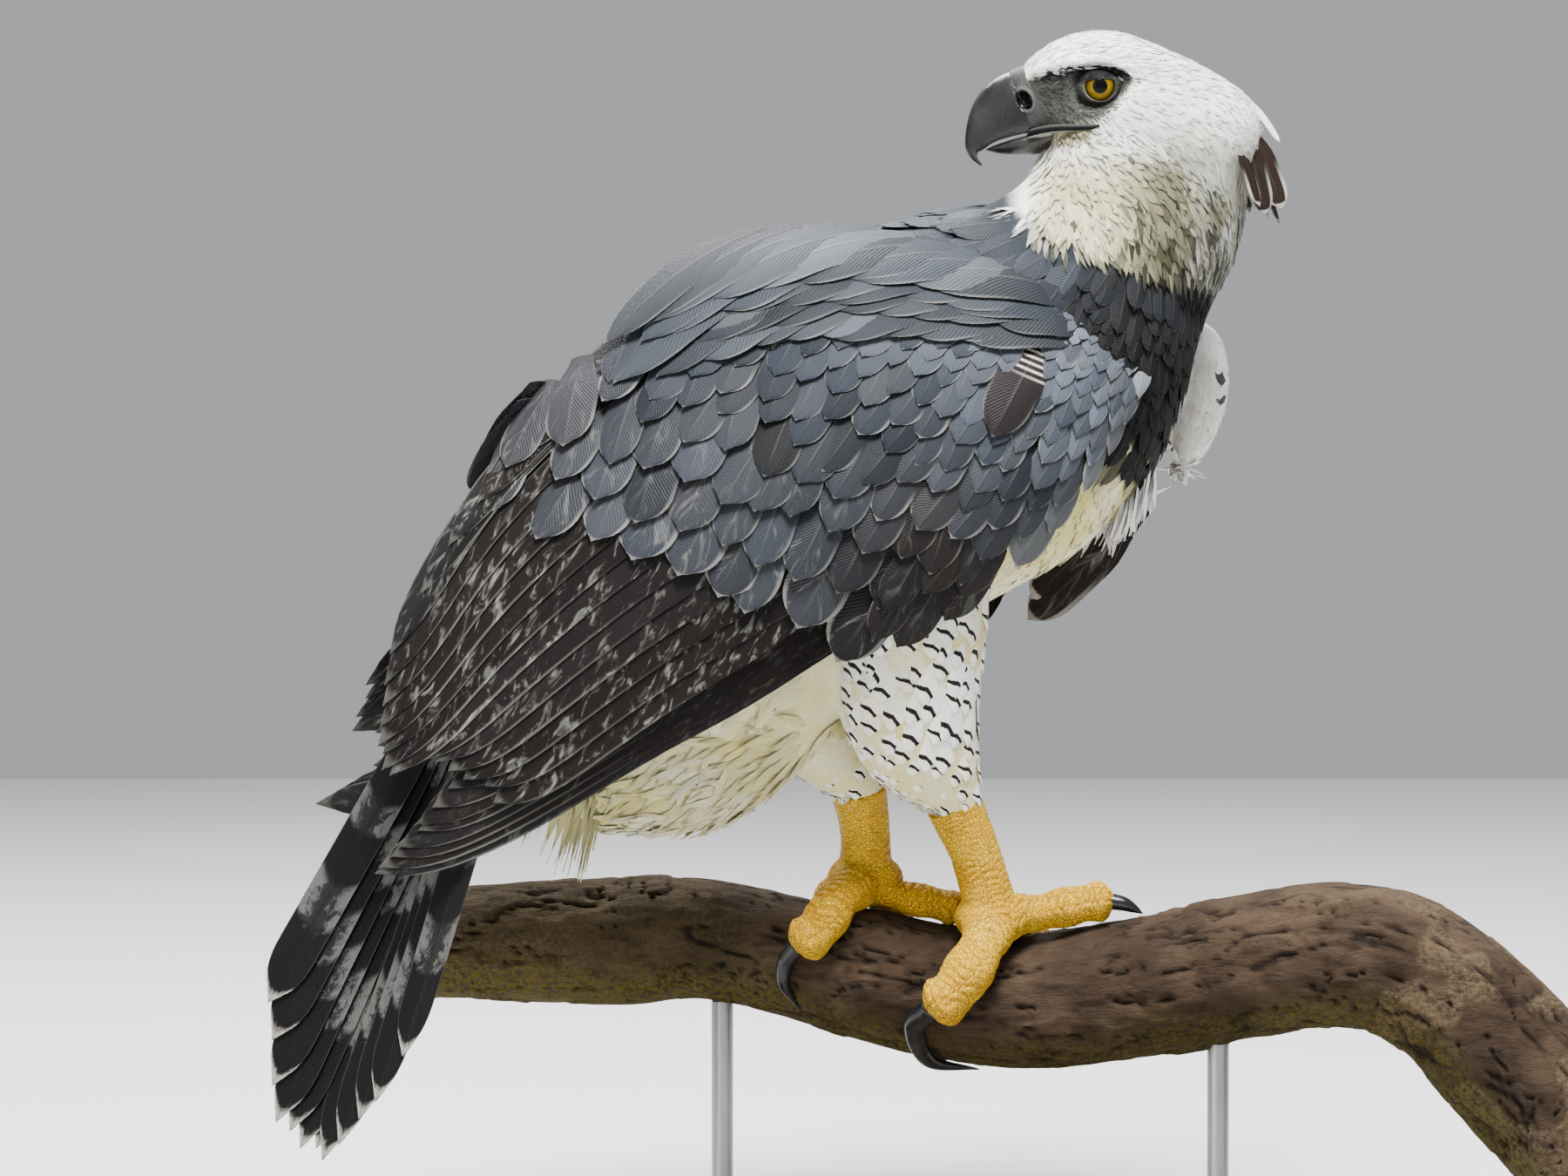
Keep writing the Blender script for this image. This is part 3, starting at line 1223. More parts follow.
def floor_paint(name):
    """Matt pale floor with the faintest unevenness."""
    paint = Paint(name)
    cloud = paint.noise(paint.place(), 0.8, 3, 0.5)
    shown = paint.shaded((0.55, 0.55, 0.545), 0.98 + cloud * 0.04)
    return paint.finish(shown, 0.85 + cloud * 0.1)


def profile_rings(shape, steps, sides, inset, square):
    t = np.linspace(0, 1, steps)
    one = bird(flow(shape["back_f"], t), 0, flow(shape["back_z"], t))
    other = bird(flow(shape["belly_f"], t), 0, flow(shape["belly_z"], t))
    return oval_rings(one, other, RIGHT, flow(shape["width"], t), sides, inset, square)


def head_rings(steps, sides, inset):
    t = np.linspace(0, 1, steps)
    crown = row(flow(HEAD["crown_x"], t), HEAD_Y, flow(HEAD["crown_z"], t))
    under = row(flow(HEAD["under_x"], t), HEAD_Y, flow(HEAD["under_z"], t))
    width = np.maximum(flow(HEAD["width"], t), inset + 2)
    return oval_rings(crown, under, np.array((0.0, -1.0, 0.0)), width, sides, inset, 2.15)


def brow_rings(side):
    """The bony ridge over an eye, thin at both ends."""
    t = np.linspace(0, 1, 16)
    swell = np.sin(math.pi * t.clip(0.02, 0.98)) ** 0.8
    line = row(50 + 70 * t, HEAD_Y - side * (17.5 + 24 * t**0.8), 748 + 6 * np.sin(math.pi * t**0.85))
    return tube_rings(line, 0.0073 * swell, 20, 0.74)


def thigh_rings(leg, steps, sides, inset):
    ankle_f, ankle_r, ankle_z = leg["ankle"]
    t = np.linspace(0, 1, steps)
    r = ankle_r + (leg["hip_r"] - ankle_r) * flow(THIGH["out"], t)
    z = ankle_z + flow(THIGH["rise"], t)
    rear = bird(ankle_f + flow(THIGH["rear_f"], t), r, z + 3 * t)
    front = bird(ankle_f + flow(THIGH["front_f"], t), r, z - 3 * t)
    return oval_rings(rear, front, RIGHT, flow(THIGH["width"], t), sides, inset, 2.1)


def wing_arm_rings(chart, inset):
    """The fleshy part of a folded wing, under its coverts."""
    u = np.linspace(0.0, 0.52, 26)
    turn = np.linspace(0, 2 * math.pi, 36, endpoint=False)
    tall = 0.86 * np.sqrt(np.clip(1 - (1 - u / 0.07) ** 2 * (u < 0.07), 0.02, 1))
    thick = 24 + (3 - 24) * smooth(u, 0.1, 0.52)
    v = 0.5 + 0.5 * tall[:, None] * np.cos(turn)
    sink = 12 * np.clip((u - 0.2) / 0.26, 0, 1)[:, None]
    swing = np.sin(turn)
    h = -sink - inset - np.where(swing > 0, 0, thick[:, None] * np.abs(swing) ** 0.7)
    return chart(u[:, None] + 0 * v, v, h)


def wrist_rings():
    """The rounded bend of the far wing, which stands out beyond the breast."""
    x, y, z, radius = (flow(column, np.linspace(0, 1, 24)) for column in zip(*WRIST))
    t = np.linspace(0, 1, 24)
    return tube_rings(row(x, y, z), radius * round_ends(t) * MM, 28)


def body_lofts(inset):
    """Each fleshy part as rings, drawn in by a depth in millimetres."""
    return {
        "torso": profile_rings(TORSO, 64, 72, inset, 2.15),
        "neck": profile_rings(NECK, 26, 60, inset, 2.1),
        "head": head_rings(60, 60, inset * 0.45),
        "tail": profile_rings(TAIL_CORE, 12, 36, inset, 2.1),
        "thigh_right": thigh_rings(LEGS["right"], 40, 48, inset),
        "thigh_left": thigh_rings(LEGS["left"], 40, 48, inset),
    }


BODY_GUIDES = [
    ((172, 0, 600), (-0.05, 0, -1)), ((160, 60, 580), (-0.1, 0.1, -1)), ((160, -60, 580), (-0.1, -0.1, -1)),
    ((150, 0, 520), (-0.25, 0, -1)), ((110, 0, 450), (-0.6, 0, -0.8)), ((40, 0, 415), (-0.85, 0, -0.5)),
    ((-60, 0, 350), (-0.8, 0, -0.6)), ((-150, 0, 270), (-0.9, 0, -0.4)), ((-206, 0, 262), (-0.8, 0, -0.6)),
    ((0, 0, 668), (-1, 0, -0.05)), ((-60, 0, 650), (-1, 0, -0.15)), ((-150, 0, 620), (-0.9, 0, -0.4)),
    ((-240, 0, 540), (-0.5, 0, -0.9)), ((-278, 0, 460), (-0.25, 0, -1)),
    ((60, 80, 540), (-0.5, 0.1, -0.9)), ((60, -80, 540), (-0.5, -0.1, -0.9)),
    ((-60, 80, 480), (-0.7, 0, -0.75)), ((-60, -80, 480), (-0.7, 0, -0.75)),
    ((-180, 60, 400), (-0.6, 0, -0.8)), ((-180, -60, 400), (-0.6, 0, -0.8)),
]
# In the frame's own axes, for the camera's side of the head; the other side is its mirror
HEAD_GUIDES = [
    ((40, 8, 756), (1, 0, 0.4)), ((61, 8, 771), (1, 0, 0.35)), ((100, 8, 777), (1, 0, 0)),
    ((140, 8, 764), (1, 0, -0.35)), ((180, 8, 738), (0.7, 0, -0.75)), ((196, 8, 710), (0.1, 0, -1)),
    ((192, 8, 670), (-0.12, 0, -1)), ((60, -20, 735), (1, -0.3, 0.1)), ((52, -12, 705), (1, -0.2, -0.45)),
    ((75, -36, 715), (1, -0.1, -0.35)), ((92, -44, 715), (1, 0, -0.4)), ((120, -50, 730), (1, 0, -0.35)),
    ((150, -46, 720), (0.9, 0, -0.6)), ((110, -50, 690), (0.6, 0, -0.85)), ((80, -40, 690), (0.55, 0, -0.85)),
    ((64, 8, 690), (0.15, 0, -1)), ((70, -20, 680), (0.25, 0, -1)), ((150, -50, 680), (0.4, 0, -1)),
    ((175, -35, 700), (0.45, 0, -1)), ((84, -34, 752), (1, -0.05, 0.06)), ((120, -40, 752), (1, 0, -0.1)),
    ((120, -62, 650), (0.1, 0, -1)), ((60, -55, 655), (-0.12, 0, -1)), ((30, 8, 672), (-0.7, 0, -0.7)),
    ((180, -30, 650), (0, 0, -1)), ((180, 8, 610), (-0.05, 0, -1)), ((40, -40, 660), (-0.35, 0, -0.9)),
]


def bird_guides():
    return [
        (bird(*at) / MM, way[0] * FORWARD + way[1] * RIGHT + way[2] * UP)
        for at, way in BODY_GUIDES
    ]


def head_guides():
    mirrored = [((x, 2 * HEAD_Y - y, z), (a, -b, c)) for (x, y, z), (a, b, c) in HEAD_GUIDES]
    return [(np.array(at, float), np.array(way, float)) for at, way in HEAD_GUIDES + mirrored]


def dents_for_eyes(points):
    """Hollows the skin behind each eye."""
    for side in (1, -1):
        eye = row(EYE["x"], HEAD_Y - side * EYE["side"], EYE["z"])
        across = np.array((0.0, -side, 0.0))
        away = points - eye
        flat = away - across * (away @ across)[:, None]
        reach = np.linalg.norm(flat / (1.0, 1.0, 0.86), axis=1) / MM
        near = (away @ across > -0.004) & (reach < 24)
        sink = np.where(near, 8.5 * (1 - smooth(reach, 9, 21)), 0)
        points = points - across * (sink * MM)[:, None]
    return points


def draw_marks(rng, count, rim=0.0, bars=0.0, marble=0.0):
    """Four marks a feather: rim, bars, its own random number, and marbling."""
    spread = lambda value, loose: np.clip(value * rng.uniform(1 - loose, 1 + loose, count), 0, 1)
    edges = spread(rim, 0.35), spread(bars, 0.35)
    return np.stack((*edges, rng.uniform(0, 1, count), spread(marble, 0.3)), -1)


def vary(rng, tint, loose=0.1, warm=0.03):
    """Makes every feather a little lighter, darker or warmer than the next."""
    light = rng.normal(1, loose, (len(tint), 1))
    heat = rng.normal(0, warm, (len(tint), 1)) * np.array((1.0, 0.1, -1.0))
    return np.clip(tint * np.clip(light, 0.4, 1.7) * (1 + heat), 0, 0.95)


class Workshop:
    """What one operator leaves for the next: the skin to lay feathers on."""

    skin = None


def settings():
    return bpy.context.scene.eagle_colours, bpy.context.scene.eagle_sizes


class EAGLE_OT_skin(bpy.types.Operator):
    """Lofts the bird's flesh and fuses it into one skin under the coat"""

    bl_idname = "eagle.skin"
    bl_label = "Skin"

    def execute(self, context):
        colours, sizes = settings()
        lofts = body_lofts(sizes.skin_depth / MM)
        parts = [ring_solid(name, rings) for name, rings in lofts.items()]
        for side in (1, -1):
            parts.append(ring_solid("arm", wing_arm_rings(WingChart(side), 5)))
            parts.append(ring_solid("brow", brow_rings(side)))
        parts.append(ring_solid("wrist", wrist_rings()))
        skin = join(parts, "skin")
        modify(skin, "REMESH", mode="VOXEL", voxel_size=sizes.skin_grain)
        modify(skin, "SMOOTH", factor=0.6, iterations=5)
        set_points(skin, dents_for_eyes(points_of(skin)))
        soft_shade(skin)
        store(skin, "tint", plumage_tint(points_of(skin), colours))
        Workshop.skin = Skin(skin)
        flesh = "torso", "neck", "head", "thigh_right", "thigh_left"
        settle(skin, skin_paint("down"), "plumage_white", *flesh)
        return {"FINISHED"}


def body_coat(
    name, loft, spacing, seed, wanted, tint_of, tile_at, paint, form, slot="plumage_white", bend=60, **marks
):
    """Scatters feathers over one loft of the body and lays them on the skin."""
    rng = np.random.default_rng(seed)
    points, places = loft.scatter(spacing, seed, wanted)
    near, _ = Workshop.skin.under(points)
    seen = np.linalg.norm(near - points, axis=1) < form.get("under", 0.0035)
    points, places = points[seen], places[seen]
    ahead = by_guides(points, form["guides"])
    if "scale" in form:
        grow = form["scale"](points)[:, None]
        form = dict(form, long=form["long"] * grow, half=form["half"] * grow)
    tint = vary(rng, tint_of(rng, points), form["loose"], form.get("warm", 0.03))
    drawn = draw_marks(rng, len(points), **marks)
    if "marked" in form:
        drawn = drawn * (rng.uniform(0, 1, (len(points), 1)) < form["marked"])
    coat = Coat()
    lay_on_skin(coat, Workshop.skin, points, ahead, form, tint, drawn, patches(places, *tile_at), rng)
    settle(coat.piece(name, bend), paint, slot)


def on_breast(points):
    head, back, breast = plumage_place(points)
    return (breast > 0.5) & (back < 0.6) & (head < 0.3)


def on_belly(points):
    _, back, breast = plumage_place(points)
    f, r, z = in_bird(points)
    by_thigh = (np.abs(r - 2) > 20) & (f > -100) & (f < 22) & (z < 452)
    return (breast <= 0.55) & (back < 0.5) & ~by_thigh


def on_back(points):
    head, back, _ = plumage_place(points)
    return (back >= 0.5) & (head < 0.3)


def on_collar(points):
    return plumage_place(points)[0] >= 0.15


def on_chest(points):
    f, r, z = in_bird(points)
    return (f > 104) & (z > 460) & (z < 500) & (r < 30)


def on_vent(points):
    f, _, z = in_bird(points)
    return (f < -95) & (z < 330)


def on_lining(points):
    return (in_bird(points)[0] > 40) & (points[:, 2] < 0.53)


def between(low, high=math.inf):
    """Picks the points between two heights in metres."""
    return lambda points: (points[:, 2] > low) & (points[:, 2] < high)


def all_along(way):
    """Guides that send every feather the same way."""
    return [((0.0, 0.0, 0.0), way)]


def plain(tint):
    """The same tint for every feather."""
    return lambda rng, points: np.tile(tint, (len(points), 1))


class EAGLE_OT_body_coat(bpy.types.Operator):
    """Lays the feathers of the breast, belly, back and thighs"""

    bl_idname = "eagle.body_coat"
    bl_label = "Body feathers"

    def execute(self, context):
        colours, sizes = settings()
        rings = body_lofts(sizes.skin_depth / MM)
        paint = plumage_paint("body_feathers", colours, 18, shaft=0.05)
        tinted = lambda rng, points: plumage_tint(points, colours)
        torso = Loft(rings["torso"])
        form = {
            "outline": CONTOUR, "long": 0.032, "half": 0.0078, "proud": 0.0032, "puff": 0.08, "stray": 0.12,
            "lag": 0.06, "guides": bird_guides(), "loose": 0.16,
        }
        body_coat(
            "breast_feathers", torso, sizes.breast_spacing, 11, on_breast, tinted, (0, 0), paint, form,
            "plumage_slate", rim=0.06,
        )
        form.update(long=0.034, half=0.0056, proud=0.0018, puff=0.06, twist=0.02, loose=0.06)
        body_coat(
            "belly_feathers", torso, sizes.belly_spacing, 12, on_belly, tinted, (1, 0), paint, form,
        )
        plumes = dict(
            form, outline=TUFT, long=0.03, half=0.0042, proud=0.016, puff=0.1, stray=0.3, sway=0.12,
            guides=all_along(0.4 * FORWARD - UP), loose=0.04,
        )
        white = plain(colours.white)
        body_coat("chest_plumes", torso, 0.0042, 16, on_chest, white, (1, 2), paint, plumes)
        vent = dict(
            plumes, outline=WISP, long=0.036, half=0.0034, proud=0.005,
            guides=all_along(-FORWARD - 0.5 * UP), loose=0.06,
        )
        body_coat("vent_plumes", torso, 0.0052, 18, on_vent, tinted, (1, 1), paint, vent)
        ruff = dict(
            form, outline=WISP, long=0.021, half=0.0019, proud=0.0022, puff=0.08, stray=0.16, sway=0.1,
            guides=head_guides(), loose=0.08,
        )
        body_coat("collar_feathers", torso, 0.0036, 17, on_collar, tinted, (0, 2), paint, ruff)
        form.update(long=0.046, half=0.0125, proud=0.004, puff=0.08, stray=0.08, sway=0.03, loose=0.18)
        body_coat(
            "mantle_feathers", torso, 0.0125, 13, on_back, tinted, (2, 0), paint, form, "plumage_slate",
            rim=0.12,
        )
        thigh_paint = plumage_paint("thigh_feathers", colours, 18, barred=True, shaft=0.03)
        for column, side in enumerate(("right", "left")):
            self.thigh(rings, column, side, dict(form, loose=0.06), sizes, thigh_paint)
        self.bend(paint, form, plumes, white)
        for column, side in enumerate((1, -1)):
            arm = Loft(wing_arm_rings(WingChart(side), 5)[:, 17:])
            lining = dict(
                form, long=0.026, half=0.0062, proud=0.003, puff=0.1, stray=0.14, loose=0.05, marked=0.6,
                guides=all_along(-UP - 0.5 * FORWARD),
            )
            body_coat(
                f"wing_lining_{side + 2}", arm, 0.0085, 28 + column, on_lining,
                plain(blend(colours.white, colours.cream, 0.3)), (2, 2), thigh_paint, lining, bars=1.0,
            )
        form.update(outline=WISP, half=0.0036, puff=0.1, stray=0.16, sway=0.12, loose=0.07)
        body_coat(
            "vent_feathers", Loft(rings["tail"]), 0.0062, 15, between(0.31), tinted, (2, 1), paint, form,
            bars=0.1,
        )
        return {"FINISHED"}

    def thigh(self, rings, column, side, form, sizes, paint):
        """Barred white feathers over a thigh, and short down round its ankle."""
        colours, _ = settings()
        leg, foot = Loft(rings[f"thigh_{side}"]), bird(*LEGS[side]["ankle"])
        low = foot[2]

        def fine_below(points):
            return 0.66 + 0.4 * smooth(points[:, 2] - low, 0.0, 0.09)

        def leg_tint(rng, points):
            return blend(colours.white, colours.cream, 0.3 + 0.3 * noise3(points, 60, 5))

        form = dict(
            form, outline=THIGH_FEATHER, long=0.038, half=0.0102, proud=0.0012, puff=0.05, stray=0.07, ways=4,
            thick=0.0005, lag=0.1, twist=0.01, scale=fine_below,
            guides=[(foot / MM + np.array((0.0, 0, 60)), -UP - 0.15 * FORWARD)],
        )
        down = dict(
            form, outline=WISP, long=0.034, half=0.003, proud=0.0025, stray=0.14, sway=0.1, ways=2,
            guides=[(foot / MM, -UP - 0.1 * FORWARD)],
        )
        body_coat(
            f"thigh_down_{side}", leg, 0.0046, 26 + column, between(low - 0.004, low + 0.013), leg_tint,
            (column, 2), paint, down, "thigh_barred",
        )
        body_coat(
            f"thigh_feathers_{side}", leg, sizes.thigh_spacing, 20 + column, between(low + 0.007), leg_tint,
            (column, 1), paint, form, "thigh_barred", bars=1.0,
        )

    def bend(self, paint, form, plumes, white):
        """White feathers over the far wing's bend, and longer plumes at its lower end."""
        colours, _ = settings()
        wrist = Loft(wrist_rings())

        def wrist_tint(rng, points):
            tint = np.tile(blend(colours.white, colours.cream, 0.15), (len(points), 1))
            dark = rng.uniform(0, 1, len(points)) < 0.07
            return np.where(dark[:, None], colours.ash, tint)

        form = dict(
            form, long=0.019, half=0.0058, proud=0.001, puff=0.06, stray=0.1, under=0.006, loose=0.06,
            guides=all_along(-UP - 0.25 * FORWARD),
        )
        body_coat("bend_feathers", wrist, 0.0058, 35, between(0.4), wrist_tint, (2, 2), paint, form)
        plumes = dict(plumes, long=0.022, half=0.0034, proud=0.005, under=0.006, guides=form["guides"])
        body_coat("bend_plumes", wrist, 0.0036, 36, between(-1, 0.503), white, (2, 2), paint, plumes)


def off_bare_face(points):
    """Where the head carries feathers: not on the cere, the eye or the mouth."""
    x, y, z = (points / MM).T
    side = np.abs(y - HEAD_Y)
    eye = np.hypot(x - EYE["x"], (z - EYE["z"]) / 0.8)
    at_eye = (eye < 12.5) & (side > 18)
    return ~at_eye & (x > np.interp(z, CERE_EDGE_Z, CERE_EDGE_X))


def on_face(points):
    """Where the head's feathers are shortest: round the eye, and on the dark mask."""
    x, y, z = (points / MM).T
    apart = (x - EYE["x"]) ** 2 + (z - EYE["z"]) ** 2 + (np.abs(y - HEAD_Y) - 30) ** 2
    return off_bare_face(points) & ((np.sqrt(apart) < 19) | (np.sum(face_mask(points), axis=0) > 0.2))


class EAGLE_OT_head_coat(bpy.types.Operator):
    """Lays the fine feathers of the head, the ruff of the neck and the crest"""

    bl_idname = "eagle.head_coat"
    bl_label = "Head feathers"

    def execute(self, context):
        colours, sizes = settings()
        rings = body_lofts(sizes.skin_depth / MM)
        paint = plumage_paint("head_feathers", colours, 14, depth=0.0003, shaft=0.08)
        head, neck = Loft(rings["head"]), Loft(rings["neck"])
        layer = lambda *given: body_coat(*given, bend=70)

        def face_tint(rng, points):
            tint = plumage_tint(points, colours)
            inside, line, _ = face_mask(points)
            speck = (inside > 0.3) & (line < 0.2) & (rng.uniform(0, 1, len(points)) < 0.1)
            tint[speck] = tint[speck] * 2.2 + 0.05
            return tint

        form = {
            "outline": WISP, "long": 0.0062, "half": 0.0008, "proud": 0.0004, "puff": 0.03, "stray": 0.16,
            "lag": 0.1, "thick": 0.0003, "sunk": 0.0005, "sway": 0.06, "twist": 0.03, "under": 0.011,
            "guides": head_guides(), "loose": 0.16, "warm": 0.02,
        }
        layer("face_feathers", head, sizes.face_spacing, 31, on_face, face_tint, (0, 0), paint, form)

        def longer_behind(points):
            x, _, z = (points / MM).T
            return 0.75 + 0.7 * smooth(x, 80, 180) + 0.25 * smooth(-z, -720, -680)

        form.update(long=0.017, half=0.0017, proud=0.0011, puff=0.05, scale=longer_behind, thick=0.0004)
        form.update(stray=0.12, loose=0.05, warm=0.015)
        off_face = lambda points: off_bare_face(points) & ~on_face(points)
        head_tint = lambda rng, points: plumage_tint(points, colours)
        layer("head_feathers", head, sizes.head_spacing, 32, off_face, head_tint, (1, 0), paint, form)

        def neck_tint(rng, points):
            x, _, z = (points / MM).T
            tint = plumage_tint(points, colours)
            low = smooth(np.interp(x, RUFF_X, RUFF_Z) + 52 - z, 0, 44) * smooth(x, 84, 130)
            grey = rng.uniform(0, 1, len(points)) < 0.04 + 0.5 * low
            return np.where(grey[:, None], tint * rng.uniform(0.12, 0.5, (len(points), 1)), tint)

        def longer_below(points):
            return 0.6 + 0.5 * smooth(-points[:, 2] / MM, -700, -655)

        form.update(long=0.022, half=0.0019, proud=0.0024, puff=0.08, stray=0.18, sway=0.1)
        form.update(scale=longer_below, sunk=0.001, under=0.0045, loose=0.09, warm=0.03)
        tufts = dict(form, outline=TUFT, long=0.02, half=0.0034, proud=0.0014, sway=0.06)
        for label, shape, seed, line in (("tufts", tufts, 37, 1), ("feathers", form, 33, 0)):
            spacing = sizes.neck_spacing
            layer(f"neck_{label}", neck, spacing, seed, off_bare_face, neck_tint, (2, line), paint, shape)

        def brow_tint(rng, points):
            x, _, z = (points / MM).T
            dark = 1 - smooth(z - np.interp(x, MASK_X, MASK_TOP), -1.6, 0.4)
            return blend(colours.white, colours.charcoal, dark)

        del form["scale"]
        form.update(outline=TUFT, long=0.009, half=0.0013, proud=0.0004, puff=0.03, stray=0.1, sway=0.05)
        form.update(under=0.004, sunk=0.0006, loose=0.05)
        for line, side in enumerate((1, -1)):
            layer(
                f"brow_feathers_{line}", Loft(brow_rings(side)), 0.0019, 38 + line,
                lambda points: points[:, 0] > 0.046, brow_tint, (line, 1), paint, form,
            )
        self.crest(colours, paint)
        return {"FINISHED"}

    def crest(self, colours, paint):
        """Broad brown feathers with white edges, hanging from the back of the head."""
        rng = np.random.default_rng(34)
        coat = Coat()
        for n, (root, tip, facing, half, dark) in enumerate(CREST):
            turn = math.radians(facing)
            chart = VaneChart(row(*root), row(*tip), (math.sin(turn), -math.cos(turn), 0.25), 7)
            tint = vary(rng, np.array([colours.umber if dark else colours.white]), 0.15)
            form = dict(BROAD_FEATHER, half=half)
            marks = draw_marks(rng, 1, rim=1.0)
            lay_on_chart(coat, chart, [(0, 0)], [(1, 0)], form, tint, marks, cells_for(1, n, len(CREST)))
        settle(coat.piece("crest_feathers"), paint, "plumage_white")


# Crest feathers: root and tip, the way they face in degrees from the camera's side to the
# back, half width, and whether brown
CREST = [
    ((184, -6, 716), (198, -12, 657), 8, 8, True), ((188, -2, 716), (209, -8, 661), 14, 8.5, True),
    ((187, 0, 733), (208, -4, 703), 20, 2.3, False), ((182, 20, 712), (203, 27, 656), 85, 10, True),
    ((183, 10, 718), (209, 12, 652), 75, 10, True), ((178, 30, 712), (192, 42, 660), 115, 9, True),
    ((178, -16, 708), (193, -26, 662), 60, 8.5, True),
]

# Root and tip of the dark feather below the breast
LOW_FEATHER = ((128, 94, 467), (50, 84, 394))

# The wing's plane in millimetres: b runs back and down along the coverts from the bend, and
# a across them, up and back
WING_BEND = np.array((98.0, 560.0))
COVERT_SLOPE = math.radians(62)
COVERT_B = np.array((-math.cos(COVERT_SLOPE), -math.sin(COVERT_SLOPE)))
COVERT_A = np.array((-math.sin(COVERT_SLOPE), math.cos(COVERT_SLOPE)))
UPPER_END_B = [-26, 32, 84, 131, 172, 250]
UPPER_END_A = [108, 178, 236, 268, 290, 322]
FRONT_A = [108, 60, 30, 0, -12, -12, -2, 10, 24, 74]
FRONT_B = [-28, -20, -10, 2, 16, 60, 100, 150, 182, 242]


class WingPlane:
    """Finds the wing chart's (u, v) for places across and along the coverts."""

    def __init__(self):
        self.chart = WingChart(1)
        u, v = np.meshgrid(np.linspace(-0.1, 1.08, 160), np.linspace(-0.15, 1.15, 90), indexing="ij")
        self.u, self.v = u.ravel(), v.ravel()
        f, _, z = in_bird(self.chart.place(self.u, self.v))
        self.tree = tree_of(np.stack((f, z, 0 * f), -1))

    def flat(self, u, v):
        """Where a place on the chart lies, in millimetres forward and up."""
        f, _, z = in_bird(self.chart.place(u, v))
        return np.stack((f, z), -1)

    def wanted(self, a, b):
        return WING_BEND + np.multiply.outer(a, COVERT_A) + np.multiply.outer(b, COVERT_B)

    def find(self, a, b):
        wanted = self.wanted(a, b)
        near = [self.tree.find((f, z, 0))[1] for f, z in wanted.tolist()]
        u, v = self.u[near].copy(), self.v[near].copy()
        for _ in range(3):
            step = 1e-3
            miss = wanted - self.flat(u, v)
            du = (self.flat(u + step, v) - self.flat(u - step, v)) / (2 * step)
            dv = (self.flat(u, v + step) - self.flat(u, v - step)) / (2 * step)
            fall = du[:, 0] * dv[:, 1] - du[:, 1] * dv[:, 0]
            u += np.clip((miss[:, 0] * dv[:, 1] - miss[:, 1] * dv[:, 0]) / fall, -0.02, 0.02)
            v += np.clip((du[:, 0] * miss[:, 1] - du[:, 1] * miss[:, 0]) / fall, -0.05, 0.05)
        return np.stack((u, v), -1)


def covert_row(rng, plane, tip_b, slope, spacing, long, start, end, turn, phase=0.0):
    """One row of coverts: roots and tips on the chart, with the tips along a sloping line."""
    count = max(2, int((end - start) / spacing))
    a = start + (np.arange(count) + 0.5 + phase) * (end - start) / count
    a = a + rng.normal(0, 0.08 * spacing, count)
    b = tip_b + slope * (a - start) + rng.normal(0, 0.06 * long, count)
    way = np.radians(turn) + rng.normal(0, 0.09, count)
    tips = plane.find(a, b)
    roots = plane.find(a + long * np.sin(way), b - long * np.cos(way))
    near = np.linalg.norm(plane.flat(*tips.T) - plane.wanted(a, b), axis=1) < 3
    return roots[near], tips[near], a[near], b[near]


def row_of(rng, count, root, tip, stagger):
    """Roots and tips of a straight row, each shared out between a first and a last."""
    share = np.linspace(0, 1, count)[:, None]
    roots, tips = (np.array(first) * (1 - share) + np.array(last) * share for first, last in (root, tip))
    tips[:, 0] += rng.normal(0, stagger, count)
    return roots, tips


